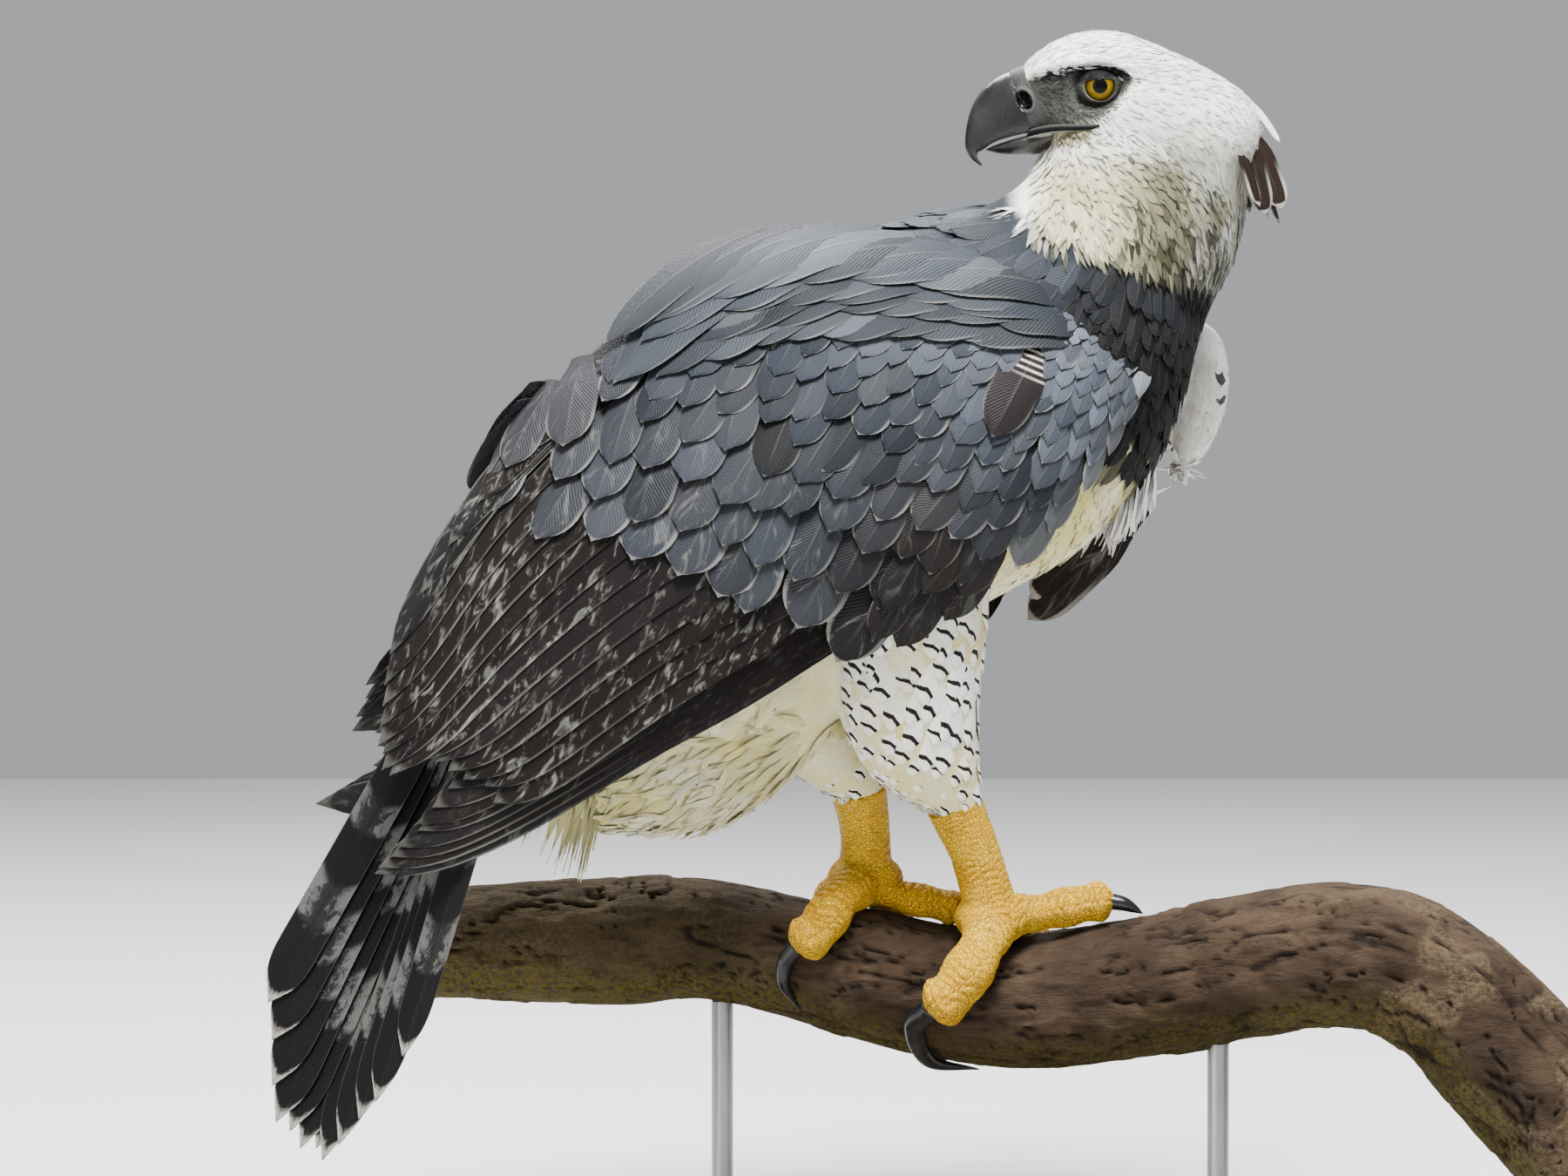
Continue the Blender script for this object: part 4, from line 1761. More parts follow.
class EAGLE_OT_wings(bpy.types.Operator):
    """Lays the folded wings: flight feathers first, then the coverts over them"""

    bl_idname = "eagle.wings"
    bl_label = "Wings"

    def execute(self, context):
        colours, sizes = settings()
        covert_paint = plumage_paint("covert_feathers", colours, 26, shaft=0.1)
        flight_paint = plumage_paint("flight_feathers", colours, 120, depth=0.0003, waves=(3.4, 30))
        for side, name in ((1, "right"), (-1, "left")):
            chart = WingChart(side)
            rng = np.random.default_rng(40 + side)
            self.flights(chart, rng, colours, sizes, name, flight_paint)
            self.coverts(chart, rng, colours, name, covert_paint)
        return {"FINISHED"}

    def flights(self, chart, rng, colours, sizes, name, paint):
        """The long feathers of one wing, from the outermost primary to the innermost tertial."""
        primaries, secondaries, tertials = sizes.primaries, sizes.secondaries, 5
        total = primaries + secondaries + tertials
        j = np.arange(total)
        primary, tertial = j < primaries, j >= primaries + secondaries
        hand = j / (primaries - 1)
        arm = np.clip((j - primaries) / (secondaries - 1), 0, 1)
        inner = np.clip((j - primaries - secondaries) / (tertials - 1), 0, 1)
        root_u = np.where(primary, 0.38 + 0.02 * hand, 0.4 + 0.08 * arm) + 0.06 * inner * tertial
        root_v = np.where(primary, 0.97 - 0.12 * hand, 0.82 - 0.68 * arm) - 0.1 * inner * tertial
        tip_u = 0.86 + 0.12 * smooth(arm * 1.6) - 0.03 * smooth(arm, 0.7, 1)
        tip_u = np.where(primary, 1.01 - 0.014 * j, tip_u)
        tip_v = np.where(primary, 0.99 - 0.26 * hand, 0.9 - 0.86 * arm)
        tip_u = np.where(tertial, 0.9 - 0.16 * inner, tip_u) + rng.normal(0, 0.006, total)
        tip_v = np.where(tertial, 0.05 + 0.03 * inner, tip_v)
        if chart.side < 0:
            root_v, tip_v = root_v + 0.07, tip_v + np.where(primary, 0, 0.14 + 0.1 * arm)
            tip_u = tip_u - np.where(primary, 0, 0.05 * arm)
        roots, tips = np.stack((root_u, root_v), -1), np.stack((tip_u, tip_v), -1)
        base = np.where(primary, -14 + 1.5 * hand, -10 + 2 * arm) + 2.5 * inner * tertial
        rise = np.stack((base - 2, base + 0.5, base + 3), -1)
        form = {
            "outline": QUILL, "ways": 8, "half": np.where(primary, 14.0, 16.5), "rise": rise,
            "tilt": [0.14, 0.19, 0.24], "thick": 0.0009, "lag": 0.02, "lopsided": -0.1,
        }
        tint = vary(rng, np.tile(colours.brown, (total, 1)), 0.15, 0.05)
        marks = draw_marks(rng, total, rim=0.22, marble=0.8)
        marks[:, 3] = np.where(primary, 0.2, marks[:, 3])
        coat = Coat()
        lay_on_chart(coat, chart, roots, tips, form, tint, marks, cells_for(total, 0, total))
        settle(coat.piece(f"flight_feathers_{name}", 50), paint, "plumage_dark", f"wing_{name}")

    def coverts(self, chart, rng, colours, name, paint):
        """The coverts and scapulars of one wing, laid from the lowest row up."""
        coat = Coat()
        plane = WingPlane()
        ash, brown, white = colours.ash, colours.brown, np.array(colours.white)

        def tint_at(a, b):
            """Slate at the bend, browner down the wing and almost black over the hand."""
            tint = blend(colours.slate, ash, rng.uniform(0.1, 0.8, len(a)) ** 1.5)
            tint = tint * (0.56 + 1.4 * (1 - smooth(b, 10, 135)))[:, None]
            dusky = 0.9 * smooth(b, 120, 215) * rng.uniform(0.6, 1, len(a))
            tint = blend(tint, blend(brown, ash, 0.34), dusky)
            return blend(tint, brown, smooth(b, 130, 190) * (1 - smooth(a, 80, 140)))

        def lay(roots, tips, rise, half, tint, marks, line, shape=COVERT, tilt=(0.08, 0.12)):
            count = len(roots)
            form = {
                "outline": shape, "ways": 6, "rise": np.array(rise) + rng.normal(0, 0.25, (count, 1)),
                "half": half * rng.uniform(0.86, 1.12, count), "tilt": tilt, "thick": 0.0008, "lag": 0.05,
                "arch": 0.1,
            }
            place = np.stack((0.1 + 0.8 * roots[:, 0], roots[:, 1]), -1)
            bake = patches(place, line % 3, line // 3, 0.006)
            lay_on_chart(coat, chart, roots, tips, form, vary(rng, tint, 0.2), marks, bake)

        # Greater coverts over the flight feathers, the dark ones over the primaries, the median ones
        rows = [
            ((246, 0.1, 27, 76, 78, 330, 2), (-12, -5, -3.2), 18.5, (0.4, 0.5)),
            ((212, 0.12, 25, 66, 60, 318, 2, 0.5), (-9, -2.5, -1.0), 17, (0.3, 0.25)),
            ((200, 0.8, 18, 64, 30, 86, -12), (-9, -1.5, 0.5), 15, (0.14, 0.2)),
            ((172, 0.6, 19, 58, 18, 82, -8, 0.5), (-7, 0, 1.6), 15, (0.14, 0.1)),
            ((178, 0.13, 23, 62, 30, 306, 5), (-6, 0, 1.4), 16.5, (0.25, 0.12)),
        ]
        for line, (place, rise, half, (rim, marble)) in enumerate(rows):
            roots, tips, a, b = covert_row(rng, plane, *place)
            marks = draw_marks(rng, len(a), rim, marble=marble)
            lay(roots, tips, rise, half, tint_at(a, b), marks, line + 1)
        tip_b, n = 150.0, 0
        trim = 0 if chart.side > 0 else 14
        while tip_b > 1.6 * trim - 30:
            spacing = 9.5 + 0.088 * max(0.0, tip_b)
            step = 7.0 + 0.075 * max(0.0, tip_b)
            start = float(np.interp(tip_b, FRONT_B, FRONT_A)) + trim
            end = float(np.interp(tip_b, UPPER_END_B, UPPER_END_A)) + 10 * smooth(tip_b, 40, 80)
            end = end + 14 - 40 * (1 - smooth(tip_b, -10, 45))
            slope = 0.04 + 0.08 * smooth(tip_b, 60, 150)
            phase = 0.5 * (n % 2) - 0.25
            roots, tips, a, b = covert_row(
                rng, plane, tip_b, slope, spacing, 3 * step, start, end, -4, phase,
            )
            edge = smooth(-(a - start), -16, 2)
            tint = blend(tint_at(a, b), white * 0.6, edge * 0.2 * rng.uniform(0, 1, len(a)))
            if chart.side < 0:
                front = smooth(-(a - start), -34, -22) * smooth(-b, -110, -90)
                tint = blend(tint, white, front * (rng.uniform(0, 1, len(a)) < 0.8))
            marks = draw_marks(rng, len(a), 0.3)
            marks[:, 0] = np.clip(marks[:, 0] * rng.uniform(0.2, 1.6, len(a)) + 0.3 * edge, 0, 1)
            shape = SMALL_COVERT if tip_b < 90 else COVERT
            lay(roots, tips, (-3.5, 0.8, 2.6), 0.66 * spacing, tint, marks, 0, shape)
            tip_b -= step
            n += 1
        # One brownish feather with pale bars stands out among the small ones
        a = np.array([71.0])
        odd = draw_marks(rng, 1, 0.3, bars=1.0)
        roots, tips = plane.find(a - 6, a - 50), plane.find(a, a + 17)
        lay(roots, tips, (0, 4.5, 4.5), 17, tint_at(a, a + 150), odd, 0)
        # Scapulars along the back, the lowest laid first
        for drop, lift, long in ((0.14, 2.6, 0.15), (0.09, 3.4, 0.17), (0.05, 4.2, 0.18), (0.0, 5.0, 0.2)):
            root = (0.1, 0.1 + drop), (0.46, -0.03 + drop)
            tip = (0.1 + long, 0.17 + drop), (0.47 + long, 0.05 + drop)
            roots, tips = row_of(rng, 10, root, tip, 0.02)
            tint = tint_at(np.full(10, 200.0), rng.uniform(60, 170, 10))
            marks = draw_marks(rng, 10, rim=0.2)
            lay(roots, tips, (-3, lift - 0.5, lift), 17.5, tint, marks, 7, tilt=(0.2, 0.26))
        if chart.side < 0:
            self.low_feather(coat, colours, rng)
        settle(coat.piece(f"wing_coverts_{name}"), paint, "plumage_slate", f"wing_{name}")

    def low_feather(self, coat, colours, rng):
        """One large dark feather of the far wing, hanging below the breast."""
        root, tip = (row(*place) for place in LOW_FEATHER)
        chart = VaneChart(root, tip, (0.0, -1.0, 0.0), 14)
        form = dict(BROAD_FEATHER, half=14.5, thick=0.0009, arch=0.14)
        tint = blend(colours.brown, colours.umber, [0.5])
        bake = patches(np.zeros((1, 2)), 2, 2, 0.006)
        for n in range(2):
            shift = np.array([(0.06 * n, 9.0 * n)])
            marks = draw_marks(rng, 1, rim=1.0, marble=0.7 - 0.4 * n)
            lay_on_chart(coat, chart, shift, shift + (1 - 0.16 * n, 0), form, tint, marks, bake)


class EAGLE_OT_tail(bpy.types.Operator):
    """Lays the twelve tail feathers and the coverts above and below them"""

    bl_idname = "eagle.tail"
    bl_label = "Tail"

    def execute(self, context):
        colours, _ = settings()
        rng = np.random.default_rng(50)
        chart = TailChart()
        count = 12
        i = np.arange(count)
        rank, side = i // 2, np.where(i % 2, -1, 1)
        place = side * (rank + 0.5)
        height = -1.6 * (rank + (i + 1) // 2 * 0.5 + (i % 2) * 0.5)
        length = TAIL["length"] - 3.2 * rank * rank + (i % 3) * 4
        roots = np.stack((np.full(count, 18.0), place * 2.4), -1)
        tips = np.stack((length, place * 11.4), -1)
        form = {
            "outline": RECTRIX, "ways": 8, "half": 16.5, "rise": np.stack((height, height), -1),
            "tilt": [0.0, 0.0], "thick": 0.001, "lag": 0.02, "step": 0.5, "arch": 0.05,
        }
        coat = Coat()
        tint = np.tile(colours.brown, (count, 1))
        bake = cells_for(count, 0, count)
        lay_on_chart(coat, chart, roots, tips, form, tint, draw_marks(rng, count), bake)
        feathers = coat.piece("tail_feathers", 50)
        settle(feathers, tail_paint("tail_feathers", colours), "plumage_dark", "tail")
        paint = plumage_paint("tail_coverts", colours, 26)
        coat = Coat()
        over = row_of(rng, 9, ((4, -20), (4, 20)), ((150, -30), (150, 30)), 10)
        form = {
            "outline": COVERT, "ways": 6, "half": 15, "rise": [-1, 3, 2.5], "tilt": [0.05, 0.05],
            "thick": 0.0009, "lag": 0.1, "step": 0.5, "arch": 0.2,
        }
        tint = vary(rng, np.tile(blend(colours.slate, colours.ash, 0.3), (9, 1)), 0.15)
        lay_on_chart(coat, chart, *over, form, tint, draw_marks(rng, 9, rim=0.6), cells_for(9, 0, 90))
        self.under(coat, colours, rng)
        settle(coat.piece("tail_coverts"), paint, "plumage_white")
        return {"FINISHED"}

    def under(self, coat, colours, rng):
        """White coverts fanned under the root of the tail."""
        start, end = bird(-262, 0, 330), bird(-300, 0, 255)
        front = unit(np.cross(end - start, RIGHT))

        def chart(u, v, h):
            line = start + (end - start) * u[..., None]
            near = (38 + 22 * u + h) * MM
            wide = (36 + 5 * u + h) * MM
            return line - front * (np.cos(v) * near)[..., None] + RIGHT * (np.sin(v) * wide)[..., None]

        chart.outward = 1
        count = 27
        for layer in range(3):
            turn = np.linspace(-1.25, 1.25, count) + 0.03 * layer
            roots = np.stack((np.full(count, -0.2 - 0.12 * layer), turn * 0.95), -1)
            down = 0.86 - 0.24 * layer + rng.normal(0, 0.07, count)
            tips = np.stack((down, turn + rng.normal(0, 0.06, count)), -1)
            form = {
                "outline": WISP, "ways": 2, "half": 4.2, "rise": [-5, 1 + 2 * layer, 2 + 2 * layer],
                "tilt": [0.02, 0.02], "thick": 0.0008, "lag": 0.1, "arch": 0.2,
            }
            tint = vary(rng, np.tile(blend(colours.cream, (0.42, 0.38, 0.15), 0.5), (count, 1)), 0.08)
            bake = cells_for(count, 9 + count * layer, 90)
            lay_on_chart(coat, chart, roots, tips, form, tint, draw_marks(rng, count), bake)


def bill_section(section, profile, steps, sides, span=(0, 1)):
    """Rings of the bill: a run of cross sections, each smoothed round its corner points."""
    t = np.linspace(*span, steps)
    ridge = row(flow(profile["top_x"], t), HEAD_Y, flow(profile["top_z"], t))
    edge = row(flow(profile["low_x"], t), HEAD_Y, flow(profile["low_z"], t))
    wide = (flow(profile["width"], t) - 0.1) * MM
    corners = np.array(section, float)
    around = np.linspace(0, len(corners), sides, endpoint=False)
    i = around.astype(int)
    w = (around - i)[:, None]
    a, b, c, d = (corners[(i + k) % len(corners)] for k in (-1, 0, 1, 2))
    smoothed = 0.5 * (
        2 * b + (c - a) * w + (2 * a - 5 * b + 4 * c - d) * w**2 + (3 * b - a - 3 * c + d) * w**3
    )
    return (
        ridge[:, None] + (edge - ridge)[:, None] * smoothed[None, :, :1]
        + np.array((0.0, 1.0, 0.0)) * smoothed[None, :, 1:] * wide[:, None, None]
    )


UPPER_SECTION = [
    (0, 0), (0.12, 0.5), (0.4, 0.86), (0.72, 1), (0.98, 0.88), (0.97, 0.3),
    (0.97, -0.3), (0.98, -0.88), (0.72, -1), (0.4, -0.86), (0.12, -0.5),
]
LOWER_SECTION = [
    (0.02, 0), (0.02, 0.85), (0.45, 1), (0.85, 0.62), (1, 0), (0.85, -0.62), (0.45, -1), (0.02, -0.85),
]


# The upper bill's cutting edge, where the horn is worn
CUTTING_EDGE_X = [14, 20, 26, 35, 45, 56]
CUTTING_EDGE_Z = [697, 701.2, 704.4, 707.2, 709.6, 711.6]


def nostril(points):
    """How deep a place is in a nostril, and how near it is to the nostril's rim."""
    x, y, z = (points / MM).T
    x, z, lean = x - NOSTRIL["x"], z - NOSTRIL["z"], NOSTRIL["lean"]
    along = x * math.cos(lean) - z * math.sin(lean)
    athwart = x * math.sin(lean) + z * math.cos(lean)
    far = np.hypot(along / NOSTRIL["long"], athwart / NOSTRIL["wide"])
    hole = (1 - smooth(far, 0.66, 1.0)) * (np.abs(y - HEAD_Y) > 5)
    return hole, smooth(far, 0.85, 1.1) * (1 - smooth(far, 1.1, 1.5))


class EAGLE_OT_bill(bpy.types.Operator):
    """Shapes the hooked bill, its cere with the nostrils, the lower bill and the gape"""

    bl_idname = "eagle.bill"
    bl_label = "Bill"

    def execute(self, context):
        colours, _ = settings()
        horn, cere_skin = horn_paint("bill_horn", colours), cere_paint("cere", colours)
        upper = ring_solid("bill_upper_horn", bill_section(UPPER_SECTION, BILL, 90, 66))
        points = points_of(upper)
        points = points - normals_of(upper) * (smooth(nostril(points)[0], 0.0, 0.2) * 0.0062)[:, None]
        set_points(upper, points)
        x, _, z = (points / MM).T
        edge_z = np.interp(x, CUTTING_EDGE_X, CUTTING_EDGE_Z)
        self.horn(upper, horn, "bill_upper", (1 - smooth(z - edge_z, 0, 3)) * 0.35)
        self.cere(cere_skin)
        lower = ring_solid("bill_lower_horn", bill_section(LOWER_SECTION, LOWER_BILL, 50, 40))
        self.horn(lower, horn, "bill_lower", 0.35 * smooth(points_of(lower)[:, 0] / MM, 34, 50))
        self.gape(cere_skin)
        return {"FINISHED"}

    def horn(self, obj, material, node, worn):
        """Hands over one half of the bill, with how worn its edges are."""
        mark(obj, worn)
        soft_shade(obj, 70)
        settle(obj, material, "bill_horn", node)

    def cere(self, material):
        """Soft skin over the root of the bill, thicker than the horn and pierced by the nostrils."""
        rings = bill_section(UPPER_SECTION, BILL, 30, 66, (-0.13, 0.085))
        t = np.linspace(0, 1, len(rings))
        swell = 0.0011 * np.sqrt(np.clip(1 - np.clip((t - 0.6) / 0.4, 0, 1) ** 2, 0, 1)) - 0.0002
        shaped = rings + unit(rings - rings.mean(1, keepdims=True)) * swell[:, None, None]
        obj = ring_solid("cere_skin", shaped)
        modify(obj, "SUBSURF", levels=2, render_levels=2)
        points, normals = points_of(obj), normals_of(obj)
        hole, rim = nostril(points)
        set_points(obj, points - normals * (hole * 0.0045 - rim * 0.0006)[:, None])
        mark(obj, rim * 0.1, smooth(hole, 0.02, 0.3))
        soft_shade(obj)
        settle(obj, material, "bill_horn", "bill_upper")

    def gape(self, material):
        """Fleshy line of the mouth from the bill back below the eye, pale under a dark cleft."""
        parts = []
        for side in (1, -1):
            t = np.linspace(0, 1, 30)
            y = HEAD_Y - side * (15.5 + 22.5 * t**0.85)
            line = row(46 + 45 * t, y, 708.6 + 5.6 * t + 1.2 * np.sin(5 * t))
            ends = round_ends(t, least=0.02)
            lips = ((2.3, 0.0008, 0.7, 0.0), (-2.1, 0.0013, 0.05, 0.0), (0.0, 0.0021, 0.0, 1.0))
            for drop, radius, pale, dark in lips:
                shift = np.stack((0 * t, 0 * t + side * 0.0006 * dark, -drop * (1 - 0.6 * t) * MM), -1)
                obj = ring_solid("lip", tube_rings(line + shift, radius * ends, 14))
                mark(obj, pale, dark)
                parts.append(obj)
        gape = join(parts, "gape")
        soft_shade(gape)
        settle(gape, material, "bill_horn")


def cornea(reach):
    """How far the clear front of the eye stands out beyond the ball, in millimetres."""
    return EYE["bulge"] * np.clip(1 - (reach / EYE["cornea"]) ** 2, 0, 1)


class EAGLE_OT_eyes(bpy.types.Operator):
    """Turns the eyeballs, with iris, pupil and lids"""

    bl_idname = "eagle.eyes"
    bl_label = "Eyes"

    def execute(self, context):
        colours, _ = settings()
        ball_paint, lid_skin = eye_paint("eye", colours), lid_paint("lids")
        for side, name in ((1, "left"), (-1, "right")):
            centre = row(EYE["x"], HEAD_Y - side * EYE["side"], EYE["z"])
            fresh_selection()
            bpy.ops.mesh.primitive_uv_sphere_add(
                segments=64, ring_count=48, radius=EYE["radius"] * MM, location=centre,
            )
            ball = own(f"eyeball_{name}")
            points = points_of(ball)
            away = (points - centre) / MM
            out = away @ np.array((0.0, -side, 0.0))
            reach = np.hypot(away[:, 0], away[:, 2])
            points[:, 1] += -side * np.where(out > 0, cornea(reach), 0) * MM
            set_points(ball, points)
            seen = np.where(out > 0, reach / EYE["iris"], 2.0)
            spoke = np.arctan2(away[:, 2], away[:, 0]) / (2 * math.pi) + 0.5
            shadow = smooth(away[:, 2] - 0.25 * away[:, 0], -2.0, 5.5)
            mark(ball, seen, spoke, shadow)
            soft_shade(ball)
            settle(ball, ball_paint, "eye_amber", f"eye_{name}")
            self.lids(centre, side, name, lid_skin)
        return {"FINISHED"}

    def lids(self, centre, side, name, material):
        """A wrinkled ring of skin hugging the eye, the upper lid heavier than the lower."""
        sides = 96
        turn = np.linspace(0, 2 * math.pi, sides, endpoint=False)
        profile = [
            (9.5, 7.6, 0.1), (9.6, 8.6, 0.6), (10.3, 9.2, 0.9), (11.2, 9, 0.8), (12.3, 8.3, 0.5),
            (13.6, 6.6, 0), (14.2, 4.6, 0), (12.6, 3, 0), (10.6, 3, 0), (9.6, 4, 0),
        ]
        rings = []
        for reach, out, lift in profile:
            wide = reach + (reach > 10) * 0.9 * np.cos(turn) ** 2
            tall = reach * (0.96 - 0.16 * smooth(reach, 9.5, 14))
            tall = tall * (1 - 0.52 * smooth(np.sin(turn - 0.15), 0.0, 1.0) * (1 - smooth(reach, 9.6, 13.6)))
            wrinkle = 0.14 * np.sin(17 * turn + reach) * smooth(reach, 9.5, 11)
            far = np.hypot(wide * np.cos(turn), tall * np.sin(turn))
            ball = np.sqrt(np.clip(EYE["radius"] ** 2 - far**2, 0, None))
            over = np.maximum(out, ball + cornea(far) + lift) if lift else np.full(sides, out)
            rings.append(np.stack((wide * np.cos(turn), over + wrinkle, tall * np.sin(turn)), -1))
        rings = np.array(rings) * MM
        rings[..., 1] *= -side
        i, j = np.meshgrid(np.arange(len(profile)), np.arange(sides), indexing="ij")
        k, n = (i + 1) % len(profile) * sides, (j + 1) % sides
        i = i * sides
        faces = np.stack((i + j, i + n, k + n, k + j), -1).reshape(-1, 4)
        obj = raw_mesh(f"lids_{name}", rings.reshape(-1, 3) + centre, [faces])
        face_outwards(obj)
        modify(obj, "SUBSURF", levels=1, render_levels=1)
        x, _, z = ((points_of(obj) - centre) / MM).T
        reach = np.hypot(x, z * 1.08)
        front = smooth(-(x + 0.8 * z) / 12, 0.2, 0.9)
        pale = (1 - smooth(np.abs(reach - 9.9), 0.2, 0.9)) * (0.1 + 0.9 * front)
        shadow = smooth(z - 0.15 * x, 2.5, 6.0)
        mark(obj, pale * (1 - shadow), shadow)
        soft_shade(obj)
        settle(obj, material, "eye_amber")


def branch_frames(at):
    """Middle, near side, upper side and radius of the branch at shares of its length."""
    control = np.array(BRANCH_AXIS, float) * MM
    middle = np.stack([flow(column, at) for column in control.T], -1)
    steps = [flow(column, at + 1e-3) - flow(column, at - 1e-3) for column in control.T]
    ahead = unit(np.stack(steps, -1))
    near = unit(np.cross(ahead, UP))
    return middle, near, np.cross(near, ahead), flow(BRANCH_RADIUS, at) * MM


def branch_share(x):
    """Share of the branch's length where it passes x, in millimetres."""
    fine = np.linspace(0, 1, 2001)
    return float(np.interp(x, flow([p[0] for p in BRANCH_AXIS], fine), fine))


def over_bark(x, degrees, height):
    """A place over the bark at x, turned from its top towards the camera, in metres."""
    middle, near, up, radius = branch_frames(np.array([branch_share(x)]))
    turn = math.radians(degrees)
    reach = radius[0] + height * MM
    return middle[0] + up[0] * reach * math.cos(turn) + near[0] * reach * math.sin(turn)


def spline(points, count):
    """Evenly shared points on a smooth curve through a few places, with the time at each."""
    t = np.linspace(0, 1, count)
    return np.stack([flow(column, t) for column in np.array(points).T], -1), t


# The plates of a leg and of a toe: the way they face, their pitch and the depth of their grooves
SHANK_PLATES = ((0.35, -0.9, 0.0), 0.0042, 0.5)
TOE_PLATES = ((0.0, -0.35, 1.0), 0.0052, 0.9)


class EAGLE_OT_feet(bpy.types.Operator):
    """Shapes both feet with their scales and plates, and the claws"""

    bl_idname = "eagle.feet"
    bl_label = "Feet"

    def execute(self, context):
        colours, sizes = settings()
        skin, horn = leg_paint("leg_skin", colours), horn_paint("claw_horn", colours, 0.16)
        for side, leg in LEGS.items():
            hub = over_bark(leg["hub_x"], leg["hub_turn"], leg["lift"])
            ankle_f, ankle_r, ankle_z = leg["ankle"]
            top = bird(ankle_f, ankle_r, ankle_z + 6)
            middle = (top + hub) / 2 + np.array((2, 0, 2)) * MM
            shank, t = spline([top, middle, hub], 40)
            lines = [(shank, TARSUS_RADIUS * MM)]
            radius = flow([1.02, 0.92, 0.9, 1.04], t) * (TARSUS_RADIUS - 0.4) * MM
            parts = [ring_solid("shank", tube_rings(shank, radius, 36))]
            a = np.linspace(0.02, math.pi - 0.02, 20)
            a, b = np.meshgrid(a, np.linspace(0, 2 * math.pi, 36, endpoint=False), indexing="ij")
            ball = np.stack((np.sin(a) * np.cos(b), np.sin(a) * np.sin(b), np.cos(a)), -1)
            parts.append(ring_solid("ball", hub + (np.array(HUB) - 0.6) * MM * ball))
            for toe, (places, swell, claw, thick) in TOES[side].items():
                full = TOE_RADIUS * swell
                points = [hub] + [over_bark(x, turn, full + 2 - i) for i, (x, turn) in enumerate(places)]
                points[-1] = points[-1] + unit(points[-1] - points[-2]) * 0.006
                line, t = spline(points, 48)
                knuckle = 1 + 0.16 * np.sin(3 * math.pi * t) ** 2
                run = run_along(line)
                left = (run[-1] - run) / (full * MM)
                end = np.sqrt(np.clip(1 - (1 - left.clip(0, 1)) ** 2, 0.004, 1))
                pad = flow([1.08, 0.93, 0.98, 1.06], t) * knuckle * end * (full - 0.3) * MM
                parts.append(ring_solid("toe", tube_rings(line, pad, 28)))
                lines.append((line, full * MM))
                claw_from = points[-1] + (points[-2] - points[-1]) * 0.2
                curve, t = spline([claw_from] + [over_bark(*p) for p in claw], 40)
                width = flow([1.0, 0.88, 0.58, 0.06], t) * thick * 0.97 * MM
                nail = ring_solid(f"claw_{toe}_{side}_horn", tube_rings(curve, width, 22, 0.92))
                mark(nail, 0)
                soft_shade(nail)
                settle(nail, horn, "claw_horn", f"claw_{toe}_{side}")
            foot = join(parts, f"foot_{side}")
            modify(foot, "REMESH", mode="VOXEL", voxel_size=sizes.foot_grain)
            modify(foot, "SMOOTH", factor=0.6, iterations=4)
            self.scales(foot, lines)
            soft_shade(foot)
            settle(foot, skin, "leg_skin", f"tarsus_{side}", *(f"toe_{toe}_{side}" for toe in TOES[side]))
        return {"FINISHED"}

    def scales(self, foot, lines):
        """Raises broad plates along the front of the leg and the back of every toe."""
        points, normals = points_of(foot), normals_of(foot)
        groove, plate, best = 0, 0, np.full(len(points), 1e9)
        for n, (line, radius) in enumerate(lines):
            tree, run = tree_of(line), run_along(line)
            near = np.array([tree.find(p)[1:] for p in points])
            index, apart = near[:, 0].astype(int), near[:, 1] / radius
            ahead = unit(np.gradient(line, axis=0))[index]
            away = points - line[index]
            along = run[index] + (away * ahead).sum(1)
            out = unit(away - ahead * (away * ahead).sum(1)[:, None])
            face, pitch, deep = TOE_PLATES if n else SHANK_PLATES
            face = unit(np.array(face))
            front = smooth(out @ face, -0.2, 0.4)
            around = np.arctan2(out @ unit(np.cross(face, ahead[0])), out @ face) / 0.75 + 0.5
            phase = (along / pitch + 0.5 * (np.floor(around) % 2) + 0.9 * noise3(points, 90, 6)) % 1
            across = np.abs(around % 1 - 0.5)
            ring = 1 - smooth(np.minimum(phase, 1 - phase), 0.04, 0.2)
            here = np.maximum(ring, (1 - smooth(0.5 - across, 0.02, 0.1)) * 0.5) * (0.2 + 0.8 * front)
            here = here * (0.35 + 0.65 * smooth(noise3(points, 60, 12), -0.5, 0.5)) * deep
            closer = apart < best
            groove, plate = np.where(closer, here, groove), np.where(closer, front, plate)
            best = np.minimum(apart, best)
        knobs = noise3(points, 260, 4)
        rise = plate * (1 - groove) * 0.0007 - groove * 0.001 + (1 - 0.6 * plate) * knobs * 0.0005
        set_points(foot, points + normals * rise[:, None])
        mark(foot, groove, plate)


# How wide the rings of a cut end are against the branch, from its edge to its middle
CUT_SHARES = (0.97, 0.8, 0.6, 0.4, 0.2)


